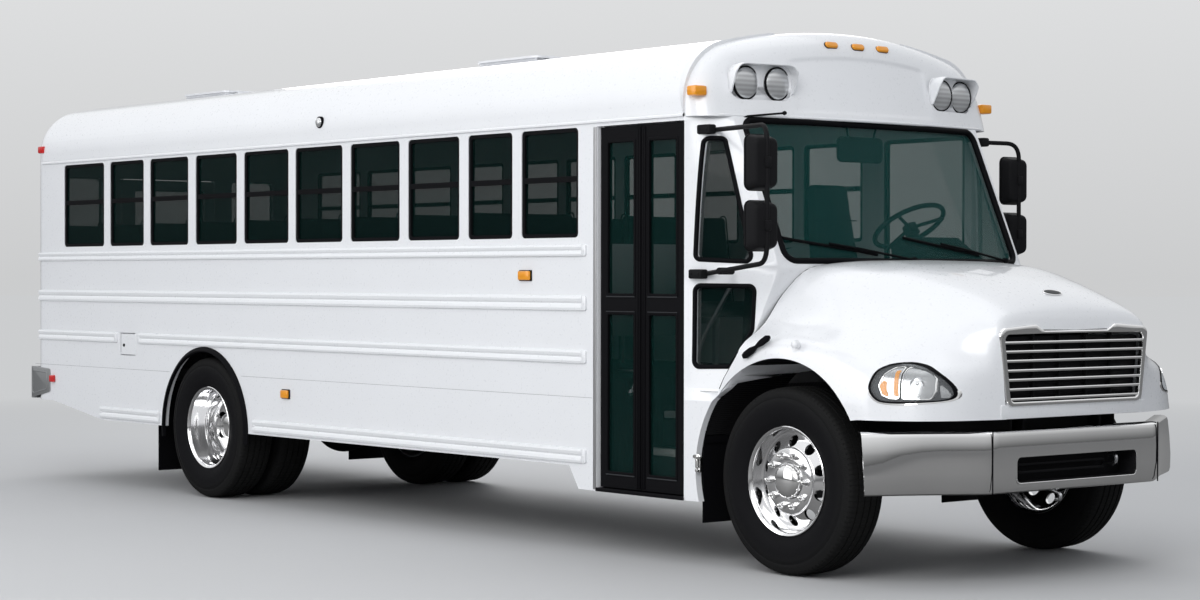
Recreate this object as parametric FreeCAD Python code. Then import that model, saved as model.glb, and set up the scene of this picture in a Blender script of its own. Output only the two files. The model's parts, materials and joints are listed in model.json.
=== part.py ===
import FreeCAD, Part
import math
import os

"""Conventional school bus with a tilting hood, as separate pieces in millimetres.

Frame: +X forward, +Y to the bus's left, +Z up. The origin is on the ground, at the
middle of the overall length and width.
"""

V = FreeCAD.Vector

# ---------------------------------------------------------------- driving sizes
LENGTH = 9906.0            # bumper face to bumper face
WHEELBASE = 6045.0
FRONT_OVERHANG = 1086.0    # front axle to the front bumper's face
BODY_WIDTH = 2438.0
ROOF_Z = 3065.0            # crown of the roof
SKIRT_Z = 500.0            # lower edge of the side skirts
FLOOR_Z = 1020.0           # cabin floor
SPLIT_Z = ROOF_Z - 535.0   # side walls end and roof begins, at the gutter
HEADER_H = 180.0           # header panels over the windows, up to the roof sheets
WALL = 40.0                # thickness of walls and roof
SEAT_GAP = 0.3             # between pieces that rest on each other
RUN_GAP = 8.0              # between pieces that move past each other

CROWN_R = 4300.0           # roof arc across the bus
SHOULDER_R = 360.0         # roof edge arc
REAR_R = 150.0             # rounding of the body's rear edges
REAR_INSET = 40.0          # rear wall ahead of the rear bumper's face
REAR_POST = 110.0          # depth of the rear wall with its corner posts

TYRE_R = 515.0
TYRE_W = 280.0
RIM_R = 286.0              # bead seat
FLANGE_R = 300.0
RIM_W = 234.0              # over the flanges
FLANGE_T = 10.0
RIM_WALL = 12.0
FRONT_TRACK_Y = 1020.0     # middle of a front tyre
REAR_OUTER_Y = 1073.0      # middle of an outer rear tyre
DUAL_SPACING = 330.0
HAND_HOLES = 10
HAND_HOLE_R = 31.0
HAND_HOLE_PCR = 218.0
STUD_COUNT = 10
STUD_PCR = 142.0

FRAME_HALF = 432.0         # outer face of a chassis rail
RAIL_W = 80.0
RAIL_T = 10.0
RAIL_LOW = 660.0
RAIL_HIGH = 900.0

DOOR_BACK = -1515.0        # entrance, ahead of the front axle
DOOR_FRONT = -742.0
DOOR_LOW = 391.0
DOOR_HIGH = SPLIT_Z - 30.0
LEAF_T = 36.0
SILL_LOW = 363.0
STEP_WELL_Y = -480.0       # inner end of the step well
STEP_COUNT = 3
SHEET = 20.0

WINDOW_HIGH = SPLIT_Z - 20.0
WINDOW_LOW = WINDOW_HIGH - 653.0
SASH_Z = WINDOW_HIGH - 320.0
DRIVER_LOW = WINDOW_HIGH - 810.0
SASH_H = 34.0
FRAME_W = 24.0             # face width of a window frame
GLASS_T = 6.0

REAR_DOOR_HALF = 450.0
REAR_DOOR_LOW = 985.0
REAR_DOOR_HIGH = SPLIT_Z - 90.0

KINGPIN_Y = 880.0
KINGPIN_R = 22.0
SPINDLE_R = 40.0
HOOD_HINGE = (1000.0, 900.0)     # ahead of the front axle, height
HOOD_HINGE_Y = 316.0
HINGE_PIN_R = 14.0
ENGINE_BACK = -130.0

HALF_W = BODY_WIDTH / 2
FRONT_X = LENGTH / 2
REAR_X = -LENGTH / 2
AXLE_X = FRONT_X - FRONT_OVERHANG
BODY_REAR_X = REAR_X + REAR_INSET
INNER_Y = HALF_W - WALL
BODY_SPAN = 7265.0         # body behind the entrance, at the length above
STRETCH = (AXLE_X + DOOR_BACK - BODY_REAR_X) / BODY_SPAN

# Side windows of both walls: rear and front edge, ahead of the front axle.
WINDOWS = ((-8248, -7582), (-7484, -6951), (-6854, -6281), (-6174, -5591), (-5492, -4900),
           (-4811, -4222), (-4124, -3548), (-3452, -2889), (-2794, -2337), (-2245, -1693))
DRIVER_WINDOW = (-1500, -800)
# Rub rails of both walls: low and high edge, then stretches ahead of the front axle.
RUB_RAILS = ((WINDOW_LOW - 112, WINDOW_LOW - 41, ((-8757, -1646),)),
             (1421, 1513, ((-8757, -1646),)),
             (1108, 1190, ((-8757, -7396), (-7002, -1646))),
             (516, 606, ((-7630, -6700), (-5360, -1646))))
RUB_RAIL_T = 18.0
ARCH_R = 600.0
FLARE_W = 35.0
GUTTER_T = 14.0


# ---------------------------------------------------------------- helpers
def at(ahead):
    """X of a place ahead of the front axle; behind the entrance the places share out the length."""
    if ahead >= DOOR_BACK:
        return AXLE_X + ahead
    return AXLE_X + DOOR_BACK + (ahead - DOOR_BACK) * STRETCH


REAR_AXLE_X = at(-WHEELBASE)


def box(x, y, z):
    """Box between the low and high ends given for each axis."""
    return Part.makeBox(x[1] - x[0], y[1] - y[0], z[1] - z[0], V(x[0], y[0], z[0]))


def rod(start, end, radius):
    """Round rod between two points."""
    start, end = V(*start), V(*end)
    return Part.makeCylinder(radius, (end - start).Length, start, end - start)


def tube_path(points, radius):
    """Rods along a chain of points with a ball at each corner, as one solid."""
    pieces = [rod(a, b, radius) for a, b in zip(points, points[1:])]
    pieces += [Part.makeSphere(radius, V(*p)) for p in points[1:-1]]
    return fuse(pieces)


def fuse(shapes):
    """One clean shape from several that touch or overlap."""
    shapes = list(shapes)
    if len(shapes) == 1:
        return shapes[0]
    return shapes[0].multiFuse(shapes[1:]).removeSplitter()


def group(shapes):
    """Separate solids that share a node."""
    return Part.makeCompound([s for shape in shapes for s in shape.Solids])


def both_sides(shape):
    """The shape and its mirror image across the bus's middle plane."""
    return [shape, shape.mirror(V(0, 0, 0), V(0, 1, 0))]


def mirrored(shape):
    """The mirror image across the bus's middle plane."""
    return shape.mirror(V(0, 0, 0), V(0, 1, 0))


def rounded_wire(points, radius):
    """Closed wire through points of one plane, with an arc at each corner."""
    edges = []
    count = len(points)
    ends = []
    radii = radius if isinstance(radius, (list, tuple)) else [radius] * count
    for i, point in enumerate(points):
        before = (points[i - 1] - point)
        after = (points[(i + 1) % count] - point)
        before.normalize()
        after.normalize()
        if radii[i] <= 0:
            ends.append((point, point, None))
            continue
        half = before.getAngle(after) / 2
        reach = radii[i] / math.tan(half)
        middle = (before + after)
        middle.normalize()
        centre = point + middle * (radii[i] / math.sin(half))
        ends.append((point + before * reach, point + after * reach, centre - middle * radii[i]))
    for i, (first, last, mid) in enumerate(ends):
        if mid is not None:
            edges.append(Part.Arc(first, mid, last).toShape())
        following = ends[(i + 1) % count][0]
        if (following - last).Length > 1e-6:
            edges.append(Part.LineSegment(last, following).toShape())
    return Part.Wire(edges)


def slab(axis, points, span, radius=0.0):
    """Prism of an outline in the plane across an axis, over a span of that axis."""
    low, high = span
    place = {"x": lambda a, b: V(low, a, b), "y": lambda a, b: V(a, low, b),
             "z": lambda a, b: V(a, b, low)}[axis]
    along = {"x": V(1, 0, 0), "y": V(0, 1, 0), "z": V(0, 0, 1)}[axis]
    wire = rounded_wire([place(*p) for p in points], radius)
    return Part.Face(wire).extrude(along * (high - low))


def rect(a, b):
    """Corners of a rectangle from its two spans."""
    return [(a[0], b[0]), (a[1], b[0]), (a[1], b[1]), (a[0], b[1])]


def ring_y(centre_x, centre_z, outer, inner, span):
    """Ring about an axis along Y."""
    ring = rod((centre_x, span[0], centre_z), (centre_x, span[1], centre_z), outer)
    return ring.cut(rod((centre_x, span[0] - 1, centre_z), (centre_x, span[1] + 1, centre_z), inner))


def turned(profile, x, z):
    """Solid turned about the line along Y through x, z; profile rows are (y, radius)."""
    wire = Part.makePolygon([V(x, y, z + r) for y, r in profile] + [V(x, profile[0][0], z + profile[0][1])])
    return Part.Face(wire).revolve(V(x, 0, z), V(0, 1, 0), 360)


# ---------------------------------------------------------------- body shell
def body_outline(inset, low):
    """Outline of the body across the bus, in the YZ plane."""
    corner_y = HALF_W - SHOULDER_R
    crown_z = ROOF_Z - CROWN_R
    reach = CROWN_R - SHOULDER_R
    corner_z = crown_z + math.sqrt(reach ** 2 - corner_y ** 2)
    half, shoulder, crown = HALF_W - inset, SHOULDER_R - inset, CROWN_R - inset
    lean = math.atan2(corner_y, corner_z - crown_z)

    def arc_point(side, angle, radius, cy, cz):
        return V(0, side * (cy + radius * math.sin(angle)), cz + radius * math.cos(angle))

    right = [arc_point(-1, a, shoulder, corner_y, corner_z) for a in
             (math.pi / 2, (math.pi / 2 + lean) / 2, lean)]
    left = [arc_point(1, a, shoulder, corner_y, corner_z) for a in
            (lean, (math.pi / 2 + lean) / 2, math.pi / 2)]
    foot_r, foot_l = V(0, -half, low), V(0, half, low)
    edges = [Part.LineSegment(foot_r, right[0]).toShape(), Part.Arc(*right).toShape(),
             Part.Arc(right[2], V(0, 0, crown_z + crown), left[0]).toShape(),
             Part.Arc(*left).toShape(), Part.LineSegment(left[2], foot_l).toShape(),
             Part.LineSegment(foot_l, foot_r).toShape()]
    return Part.Wire(edges)


def body_block(inset, low, front):
    """Solid body form, rounded at its rear edges, up to the front plane."""
    rear = BODY_REAR_X + inset
    face = Part.Face(body_outline(inset, low))
    face.translate(V(rear, 0, 0))
    block = face.extrude(V(front - rear, 0, 0))
    edges = []
    for edge in block.Edges:
        middle = edge.BoundBox
        if middle.XMax < rear + 0.1 and middle.ZMax > low + 1:
            edges.append(edge)
    return block.makeFillet(REAR_R - inset, edges)


# Front end in plan at four heights: half width and place of the pillar, place of the middle.
COWL_PLANS = ((SILL_LOW, 1195.0, -400.0, -340.0),
              (930.0, 1195.0, -400.0, -340.0),
              (1000.0, 1140.0, -400.0, -340.0),
              (1680.0, 1010.0, -185.0, -60.0),
              (SPLIT_Z, 1010.0, -560.0, -490.0))


def cowl_block(inset):
    """Solid form of the front end from the door's front post forward."""
    wires = []
    for height, half, pillar, middle in COWL_PLANS:
        half_in = half - inset
        pts = [V(at(DOOR_FRONT) - (1 if inset else 0), -HALF_W + inset, height),
               V(at(pillar) - inset, -half_in, height), V(at(middle) - inset, -half_in / 2, height),
               V(at(middle) - inset, half_in / 2, height), V(at(pillar) - inset, half_in, height),
               V(at(DOOR_FRONT) - (1 if inset else 0), HALF_W - inset, height)]
        wires.append(Part.makePolygon(pts + [pts[0]]))
    return Part.makeLoft(wires, True, True)


def wall_windows(side, spans, low):
    """Cutters for the windows of one side wall, side -1 right and 1 left."""
    y = (-HALF_W - 60, -INNER_Y + 30) if side < 0 else (INNER_Y - 30, HALF_W + 60)
    return [slab("y", rect((at(a), at(b)), (low, WINDOW_HIGH)), y, 30) for a, b in spans]


def rub_rails(side):
    """Double-ribbed rails on one side wall."""
    rails = []
    for low, high, stretches in RUB_RAILS:
        h = high - low
        rows = ((-4, 0), (14, 0.04), (RUB_RAIL_T, 0.2), (14, 0.38), (7, 0.5), (14, 0.62),
                (RUB_RAIL_T, 0.8), (14, 0.96), (-4, 1))
        for start, stop in stretches:
            pts = [(side * (HALF_W + t), low + s * h) for t, s in rows]
            rails.append(slab("x", pts, (max(at(start), BODY_REAR_X + REAR_POST), at(stop))))
    return rails


def skirt_cutter():
    """What the skirts leave open below the body, seen from the side."""
    low = SKIRT_Z
    pts = [(BODY_REAR_X - 100, 0), (BODY_REAR_X - 100, 620), (at(-8440), 620), (at(-7614), low),
           (at(-1776), low), (at(-1680), SILL_LOW - 10), (at(-1680), 0)]
    return slab("y", pts, (-HALF_W - 100, HALF_W + 100))


def arch_cutter(radius, inner=500.0):
    """Openings for the rear wheels through both walls."""
    hole = rod((REAR_AXLE_X, -HALF_W - 100, TYRE_R - 20), (REAR_AXLE_X, -inner, TYRE_R - 20), radius)
    return fuse(both_sides(hole))


def make_body():
    """Walls, roof and rear, cut from one shell."""
    front = at(DOOR_FRONT)
    shell = body_block(0, SILL_LOW, front).cut(body_block(WALL, SILL_LOW - 200, front + 200))
    shell = shell.cut(skirt_cutter())
    rear_split = BODY_REAR_X + REAR_POST
    far = 6000
    roof = shell.common(box((-far, far), (-far, far), (SPLIT_Z, far)))
    low = shell.common(box((-far, far), (-far, far), (0, SPLIT_Z)))
    rear = low.common(box((-far, rear_split), (-far, far), (0, far)))
    arch = arch_cutter(ARCH_R)

    right = low.common(box((rear_split, at(DOOR_BACK)), (-far, 0), (0, far)))
    left = low.common(box((rear_split, far), (0, far), (0, far)))
    left_open = box((at(DOOR_BACK), far), (0, far), (0, SKIRT_Z))
    left = left.cut(left_open)
    right = fuse([right] + rub_rails(-1)).cut(fuse(wall_windows(-1, WINDOWS, WINDOW_LOW)))
    right = right.cut(arch).cut(fuel_pocket())
    left = fuse([left] + rub_rails(1)).cut(fuse(wall_windows(1, WINDOWS, WINDOW_LOW)))
    left = left.cut(arch).cut(fuse(wall_windows(1, (DRIVER_WINDOW,), DRIVER_LOW)))
    rear = rear.cut(rear_openings())
    rear = fuse([rear] + rear_pins())
    for curb in hatch_curbs():
        roof = fuse([roof, curb])
    for hole in hatch_holes():
        roof = roof.cut(hole)
    roof = fuse([roof] + gutters() + entrance_header())
    roof = roof_panels(roof, rear_split)
    return {"roof_shell": roof, "rear_wall": rear, "right_wall": right, "left_wall": left}


def roof_panels(roof, rear_split):
    """Roof sheets and the header panels under them, parted where the real panels meet."""
    far = 6000
    seam = SPLIT_Z + HEADER_H
    top = roof.common(box((-far, far), (-far, far), (seam, far)))
    low = roof.common(box((-far, far), (-far, far), (0, seam)))
    rear = low.common(box((-far, rear_split), (-far, far), (0, far)))
    sides = [low.common(box((rear_split, far), span, (0, far))) for span in ((-far, 0), (0, far))]
    return group([top, rear] + sides)


def gutters():
    """Drip rails along both roof edges."""
    outline = [(-HALF_W + 6, SPLIT_Z), (-HALF_W - GUTTER_T, SPLIT_Z),
               (-HALF_W - GUTTER_T, SPLIT_Z + 10), (-HALF_W + 6, SPLIT_Z + 26)]
    strip = slab("x", outline, (BODY_REAR_X + REAR_R, at(DOOR_FRONT)))
    return both_sides(strip)


# ---------------------------------------------------------------- fuel door
FUEL_X = (-7319.0, -7077.0)
FUEL_Z = (1014.0, 1188.0)
FUEL_T = 6.0
FUEL_PIN_R = 5.0


def fuel_pocket():
    """Recess behind the fuel door."""
    return box((at(FUEL_X[0]), at(FUEL_X[1])), (-HALF_W - 60, -INNER_Y - 8), FUEL_Z)


def fuel_axis():
    """Hinge line of the fuel door: its x and y."""
    return at(FUEL_X[1]) - RUN_GAP - FUEL_PIN_R - 4, -HALF_W + FUEL_PIN_R + 4


def make_fuel_door():
    """Lid over the filler with its hinge barrel."""
    x, y = fuel_axis()
    low, high = FUEL_Z[0] + RUN_GAP, FUEL_Z[1] - RUN_GAP
    plate = box((at(FUEL_X[0]) + RUN_GAP, x), (-HALF_W + 4, -HALF_W + 4 + FUEL_T), (low, high))
    barrel = rod((x, y, low), (x, y, high), FUEL_PIN_R + 4)
    bore = rod((x, y, low - 1), (x, y, high + 1), FUEL_PIN_R + SEAT_GAP)
    return fuse([plate, barrel]).cut(bore)


def fuel_pin():
    """Pin that the fuel door turns on, held at both ends of the recess."""
    x, y = fuel_axis()
    return rod((x, y, FUEL_Z[0] - 10), (x, y, FUEL_Z[1] + 10), FUEL_PIN_R)


# ---------------------------------------------------------------- rear wall, door and lamps
REAR_WINDOW = (620.0, 1040.0)
REAR_PIN_R = 9.0


def rear_openings():
    """Rear door opening and the two fixed windows."""
    x = (BODY_REAR_X - 50, BODY_REAR_X + REAR_POST + 50)
    door = slab("x", rect((-REAR_DOOR_HALF, REAR_DOOR_HALF), (REAR_DOOR_LOW, REAR_DOOR_HIGH)), x)
    panes = [slab("x", rect(span, (WINDOW_LOW, REAR_DOOR_HIGH)), x, 40)
             for span in (REAR_WINDOW, (-REAR_WINDOW[1], -REAR_WINDOW[0]))]
    return fuse([door] + panes)


def rear_axis():
    """Hinge line of the rear door: its x and y."""
    return BODY_REAR_X + WALL / 2, -REAR_DOOR_HALF + WALL / 2 + 6


def rear_pins():
    """Top and bottom pins of the rear door."""
    x, y = rear_axis()
    return [rod((x, y, REAR_DOOR_LOW - 20), (x, y, REAR_DOOR_LOW + 40), REAR_PIN_R),
            rod((x, y, REAR_DOOR_HIGH - 40), (x, y, REAR_DOOR_HIGH + 20), REAR_PIN_R)]


def leaf(axis_xy, along, length, thickness, low, high, panes, pin_r, pin_reach=40):
    """Door leaf with a round hinge edge, pane openings and pin bores.

    along is a unit vector from hinge to free edge; panes are (start, stop, low, high).
    """
    x, y = axis_xy
    ux, uy = along
    half = thickness / 2

    def spot(run, side):
        return (x + ux * run - uy * side, y + uy * run + ux * side)

    plate = slab("z", [spot(0, -half), spot(length, -half), spot(length, half), spot(0, half)], (low, high))
    barrel = rod((x, y, low), (x, y, high), half)
    body = fuse([plate, barrel])
    for start, stop, z0, z1 in panes:
        across = [spot(start, -half - 5), spot(stop, -half - 5), spot(stop, half + 5), spot(start, half + 5)]
        body = body.cut(slab("z", across, (z0, z1)))
    for z0, z1 in ((low - 1, low + pin_reach), (high - pin_reach, high + 1)):
        body = body.cut(rod((x, y, z0), (x, y, z1), pin_r + SEAT_GAP))
    glass = []
    for start, stop, z0, z1 in panes:
        across = [spot(start, -GLASS_T / 2), spot(stop, -GLASS_T / 2), spot(stop, GLASS_T / 2),
                  spot(start, GLASS_T / 2)]
        glass.append(slab("z", across, (z0, z1)))
    return body, group(glass)


def make_rear_door():
    """Rear emergency door and its two panes."""
    length = 2 * REAR_DOOR_HALF - (WALL / 2 + 6) - RUN_GAP
    panes = ((110, length - 90, 1120, 1620), (110, length - 90, WINDOW_LOW, REAR_DOOR_HIGH - 90))
    return leaf(rear_axis(), (0, 1), length, WALL, REAR_DOOR_LOW + RUN_GAP, REAR_DOOR_HIGH - RUN_GAP,
                panes, REAR_PIN_R, 36)


# ---------------------------------------------------------------- entrance
ENTRANCE_PIN_R = 9.0
PIN_OFFSET = LEAF_T / 2 + 6
LEAF_Y = -HALF_W + 14 + LEAF_T / 2
UPPER_PANE = (1521.0, DOOR_HIGH - 88.0)
LOWER_PANE = (480.0, 1409.0)


def entrance_axes():
    """Hinge lines of the rear and front leaf."""
    return (at(DOOR_BACK) + PIN_OFFSET, LEAF_Y), (at(DOOR_FRONT) - PIN_OFFSET, LEAF_Y)


def make_entrance_leaves():
    """Two outward-opening leaves and their panes."""
    rear_axis_xy, front_axis_xy = entrance_axes()
    middle = (at(DOOR_BACK) + at(DOOR_FRONT)) / 2
    length = middle - RUN_GAP / 2 - rear_axis_xy[0]
    panes = ((55, length - 60, *LOWER_PANE), (55, length - 60, *UPPER_PANE))
    args = (LEAF_T, DOOR_LOW, DOOR_HIGH, panes, ENTRANCE_PIN_R, 30)
    rear, rear_glass = leaf(rear_axis_xy, (1, 0), length, *args)
    front, front_glass = leaf(front_axis_xy, (-1, 0), length, *args)
    return rear, rear_glass, front, front_glass


def make_steps():
    """Step well with treads, risers, side sheets, sill and the lower door pins."""
    x0, x1 = at(DOOR_BACK), at(DOOR_FRONT)
    outer_y = -INNER_Y + 30
    run = (STEP_WELL_Y - outer_y) / STEP_COUNT
    base = DOOR_LOW + 9
    rise = (FLOOR_Z - base) / STEP_COUNT
    upper, lower = [(outer_y, base)], []
    for i in range(STEP_COUNT):
        edge = outer_y + run * (i + 1)
        upper += [(edge, base + rise * i), (edge, base + rise * (i + 1))]
        lower += [(edge + SHEET, base + rise * i - SHEET), (edge + SHEET, base + rise * (i + 1) - SHEET)]
    upper[-1] = (STEP_WELL_Y, FLOOR_Z)
    lower[-1] = (STEP_WELL_Y + SHEET, FLOOR_Z)
    outline = upper + lower[::-1] + [(outer_y, base - SHEET)]
    treads = slab("x", outline, (x0, x1))
    side_pts = [(outer_y, SILL_LOW), (outer_y, FLOOR_Z), (STEP_WELL_Y + SHEET, FLOOR_Z),
                (STEP_WELL_Y + SHEET, FLOOR_Z - rise), (outer_y + run, SILL_LOW)]
    sides = [slab("x", side_pts, span) for span in ((x0 - SHEET, x0), (x1, x1 + SHEET))]
    sill = box((x0, x1), (-HALF_W - 12, outer_y), (SILL_LOW, DOOR_LOW - RUN_GAP))
    base_plate = box((x0, x1), (outer_y, outer_y + run), (SILL_LOW, base - SHEET))
    pins = [rod((x, y, SILL_LOW + 5), (x, y, DOOR_LOW + 26), ENTRANCE_PIN_R) for x, y in entrance_axes()]
    return fuse([treads, sill, base_plate] + sides + pins)


def entrance_header():
    """Beam over the entrance that carries the upper door pins."""
    x0, x1 = at(DOOR_BACK), at(DOOR_FRONT)
    beam = box((x0, x1), (-HALF_W, -INNER_Y), (DOOR_HIGH + RUN_GAP, SPLIT_Z))
    pins = [rod((x, y, DOOR_HIGH - 26), (x, y, DOOR_HIGH + RUN_GAP + 5), ENTRANCE_PIN_R)
            for x, y in entrance_axes()]
    return [beam] + pins


# ---------------------------------------------------------------- windows
def window_set(side, spans, low, high, sash):
    """Frames and panes of the windows of one side."""
    y_out, y_in = side * (HALF_W - 6), side * (HALF_W - 34)
    y = (min(y_out, y_in), max(y_out, y_in))
    mid = side * (HALF_W - 22)
    frames, panes = [], []
    for a, b in spans:
        x = (at(a), at(b))
        inner = ((x[0] + FRAME_W, x[1] - FRAME_W), (low + FRAME_W, high - FRAME_W))
        frame = slab("y", rect(x, (low, high)), y, 30).cut(slab("y", rect(*inner), (y[0] - 1, y[1] + 1), 16))
        glass_y = (mid - GLASS_T / 2, mid + GLASS_T / 2)
        if sash:
            outer = (glass_y[1], y[1]) if side > 0 else (y[0], glass_y[0])
            bar = box((inner[0][0] - 4, inner[0][1] + 4), outer, (SASH_Z, SASH_Z + SASH_H))
            frame = fuse([frame, bar])
        frames.append(frame)
        panes.append(slab("y", rect(*inner), glass_y, 16))
    return frames, panes


# Quarter windows: corners ahead of the front axle and in height.
QUARTER_UPPER = ((-655, SPLIT_Z - 130), (-575, SPLIT_Z - 130), (-352, 1715), (-672, 1730))
QUARTER_LOWER = ((-672, 1569), (-330, 1566), (-330, 1330), (-450, 1132), (-672, 1125))


def quarter_cut(points):
    """Prism of a quarter window across the right side."""
    return slab("y", [(at(ahead), z) for ahead, z in points], (-1300, -900), 25)


# Windshield opening seen from the front: half width and heights.
SHIELD_HALF = 945.0
SHIELD_LOW = 1722.0
SHIELD_HIGH = SPLIT_Z - 25.0


def shield_cut(x):
    """Prism of the windshield's outline along the bus."""
    return slab("x", rect((-SHIELD_HALF, SHIELD_HALF), (SHIELD_LOW, SHIELD_HIGH)), x, 60)


def make_cowl():
    """Front end of the body with its pillars, and the glass that it holds."""
    outer, inner = cowl_block(0), cowl_block(WALL)
    far = 6000
    shell = outer.cut(inner)
    shell = shell.cut(box((-far, far), (-1150, 1150), (0, FLOOR_Z - 60)))
    wheel = rod((AXLE_X, -far, 545), (AXLE_X, far, 545), 650)
    shield = shield_cut((at(-700), at(200)))
    quarters = [quarter_cut(QUARTER_UPPER), quarter_cut(QUARTER_LOWER)]
    cowl = shell.cut(wheel).cut(shield)
    for q in quarters:
        for hole in both_sides(q):
            cowl = cowl.cut(hole)
    middle_low, middle_high = WALL / 2 - GLASS_T / 2, WALL / 2 + GLASS_T / 2
    sheet = cowl_block(middle_low).cut(cowl_block(middle_high))
    windshield = sheet.common(shield)
    panes = []
    for q in quarters:
        panes += [sheet.common(hole) for hole in both_sides(q)]
    return cowl, windshield, panes


# ---------------------------------------------------------------- front cap
CAP_FRONT = -455.0         # lowest edge of the cap at the middle
CAP_LEAN = 130.0           # how far the cap leans back up to its brow
CAP_PLAN_R = 4600.0
BROW_R = 150.0
WARNING_Y = (684.0, 895.0)
WARNING_Z = ROOF_Z - 339.0
WARNING_R = 92.0
VISOR_T = 8.0
CLEARANCE_Y = 213.0
CLEARANCE_Z = ROOF_Z - 80.0


def cap_sag(y):
    """How far the cap's face falls back at a distance from the middle."""
    return CAP_PLAN_R - math.sqrt(CAP_PLAN_R ** 2 - y ** 2)


def cap_block(inset):
    """Solid form of the cap over the windshield."""
    back = at(DOOR_FRONT) - (1 if inset else 0)
    face = Part.Face(body_outline(inset, SPLIT_Z - (1 if inset else 0)))
    face.translate(V(back, 0, 0))
    block = face.extrude(V(900, 0, 0))
    half = HALF_W + 5
    sag = cap_sag(HALF_W)
    front = at(CAP_FRONT) - inset
    p0, p1 = V(back, -half, 2000), V(front - sag, -half, 2000)
    p2, p3 = V(front - sag, half, 2000), V(back, half, 2000)
    plan = Part.Wire([Part.LineSegment(p0, p1).toShape(), Part.Arc(p1, V(front, 0, 2000), p2).toShape(),
                      Part.LineSegment(p2, p3).toShape(), Part.LineSegment(p3, p0).toShape()])
    plan = Part.Face(plan).extrude(V(0, 0, 1500))
    lean = [(back, 2000), (front + 60, 2000), (front + 60, SPLIT_Z), (front - 4, SPLIT_Z),
            (front - CAP_LEAN, ROOF_Z - 60 - inset), (front - CAP_LEAN - 90, ROOF_Z + 60 - inset),
            (back, ROOF_Z + 60)]
    side = slab("y", lean, (-half - 10, half + 10), [0, 0, 0, 0, BROW_R, 0, 0])
    return block.common(plan).common(side)


def make_cap():
    """Front cap shell with lamp seats and visors, and its lamps."""
    cap = cap_block(0).cut(cap_block(WALL))
    lamps, seats = [], []
    for y in WARNING_Y:
        front = at(CAP_FRONT) - cap_sag(y) - 40
        seats.append(rod((front - 150, -y, WARNING_Z), (front + 60, -y, WARNING_Z), WARNING_R + 4))
        lamps.append(rod((front - 30, -y, WARNING_Z), (front - 4, -y, WARNING_Z), WARNING_R + 4))
    y_mid = sum(WARNING_Y) / 2
    half = (WARNING_Y[1] - WARNING_Y[0]) / 2 + WARNING_R + 18
    face = at(CAP_FRONT) - cap_sag(y_mid)
    outer = slab("x", rect((-y_mid - half, -y_mid + half), (WARNING_Z - 30, WARNING_Z + WARNING_R + 18)),
                 (face - 130, face - 5), [0, 0, 70, 70])
    inner = slab("x", rect((-y_mid - half + VISOR_T, -y_mid + half - VISOR_T),
                           (WARNING_Z - 31, WARNING_Z + WARNING_R + 18 - VISOR_T)),
                 (face - 400, face + 10), [0, 0, 62, 62])
    visors = outer.cut(inner).cut(cap_block(WALL))
    for piece in both_sides(visors):
        cap = fuse([cap, piece])
    for seat in seats:
        for hole in both_sides(seat):
            cap = cap.cut(hole)
    warning = [s for lamp in lamps for s in both_sides(lamp)]
    return cap, warning


def cap_lamps():
    """Amber clearance lamps along the cap's brow."""
    lamps = []
    for y in (-CLEARANCE_Y, 0.0, CLEARANCE_Y):
        x = at(CAP_FRONT) - CAP_LEAN
        outline = rect((x - 70, x + 2), (CLEARANCE_Z - 18, CLEARANCE_Z + 20))
        lamps.append(slab("y", outline, (y - 48, y + 48), 8))
    return lamps


# ---------------------------------------------------------------- roof hatches
HATCH_AT = (-3565.0, -7560.0)
HATCH_HALF = 345.0
CURB_HALF = 320.0
CURB_TOP = ROOF_Z + 18.0
LID_T = 18.0
LID_AXIS_DROP = 10.0       # hinge line of a lid below the curb's top
LID_PIN_R = 4.0
LID_HINGES = (150.0, 250.0)


def hatch_axis(place):
    """Hinge line of a hatch lid: its x and z."""
    return at(place) + HATCH_HALF, CURB_TOP - LID_AXIS_DROP


def hatch_curbs():
    """Raised rings on the roof under the hatch lids, with hinge ears and pins."""
    curbs = []
    low, high = LID_HINGES
    for place in HATCH_AT:
        x = at(place)
        curbs.append(box((x - CURB_HALF, x + CURB_HALF), (-CURB_HALF, CURB_HALF), (ROOF_Z - 30, CURB_TOP)))
        ax, az = hatch_axis(place)
        reach = LID_PIN_R + 1
        for y in (low, high):
            ear = box((x + CURB_HALF - 5, ax + reach), (y - 5, y + 5), (ROOF_Z - 30, az + reach))
            curbs += both_sides(ear)
        curbs += both_sides(rod((ax, low, az), (ax, high, az), LID_PIN_R))
    return curbs


def hatch_holes():
    """Openings through the roof inside the curbs."""
    inner = CURB_HALF - 25
    height = (ROOF_Z - 200, ROOF_Z + 100)
    return [box((at(p) - inner, at(p) + inner), (-inner, inner), height) for p in HATCH_AT]


def make_hatch(place):
    """Hatch lid, seated on its curb."""
    x = at(place)
    low = CURB_TOP + SEAT_GAP
    outline = rect((x - HATCH_HALF, x + HATCH_HALF), (-HATCH_HALF, HATCH_HALF))
    lid = slab("z", outline, (low, low + LID_T), 60)
    ax, az = hatch_axis(place)
    y = (LID_HINGES[0] + 12, LID_HINGES[1] - 12)
    lug = rod((ax, y[0], az), (ax, y[1], az), LID_PIN_R + 4)
    web = box((ax - 5, ax + 5), y, (az, low + 2))
    bore = rod((ax, y[0] - 1, az), (ax, y[1] + 1, az), LID_PIN_R + SEAT_GAP)
    return fuse([lid] + both_sides(lug.fuse(web))).cut(fuse(both_sides(bore)))


# ---------------------------------------------------------------- floor
HOUSE_HALF = 640.0
HOUSE_TOP = 1130.0
HOUSE_IN = 560.0
SILL_PITCH = 690.0


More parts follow.
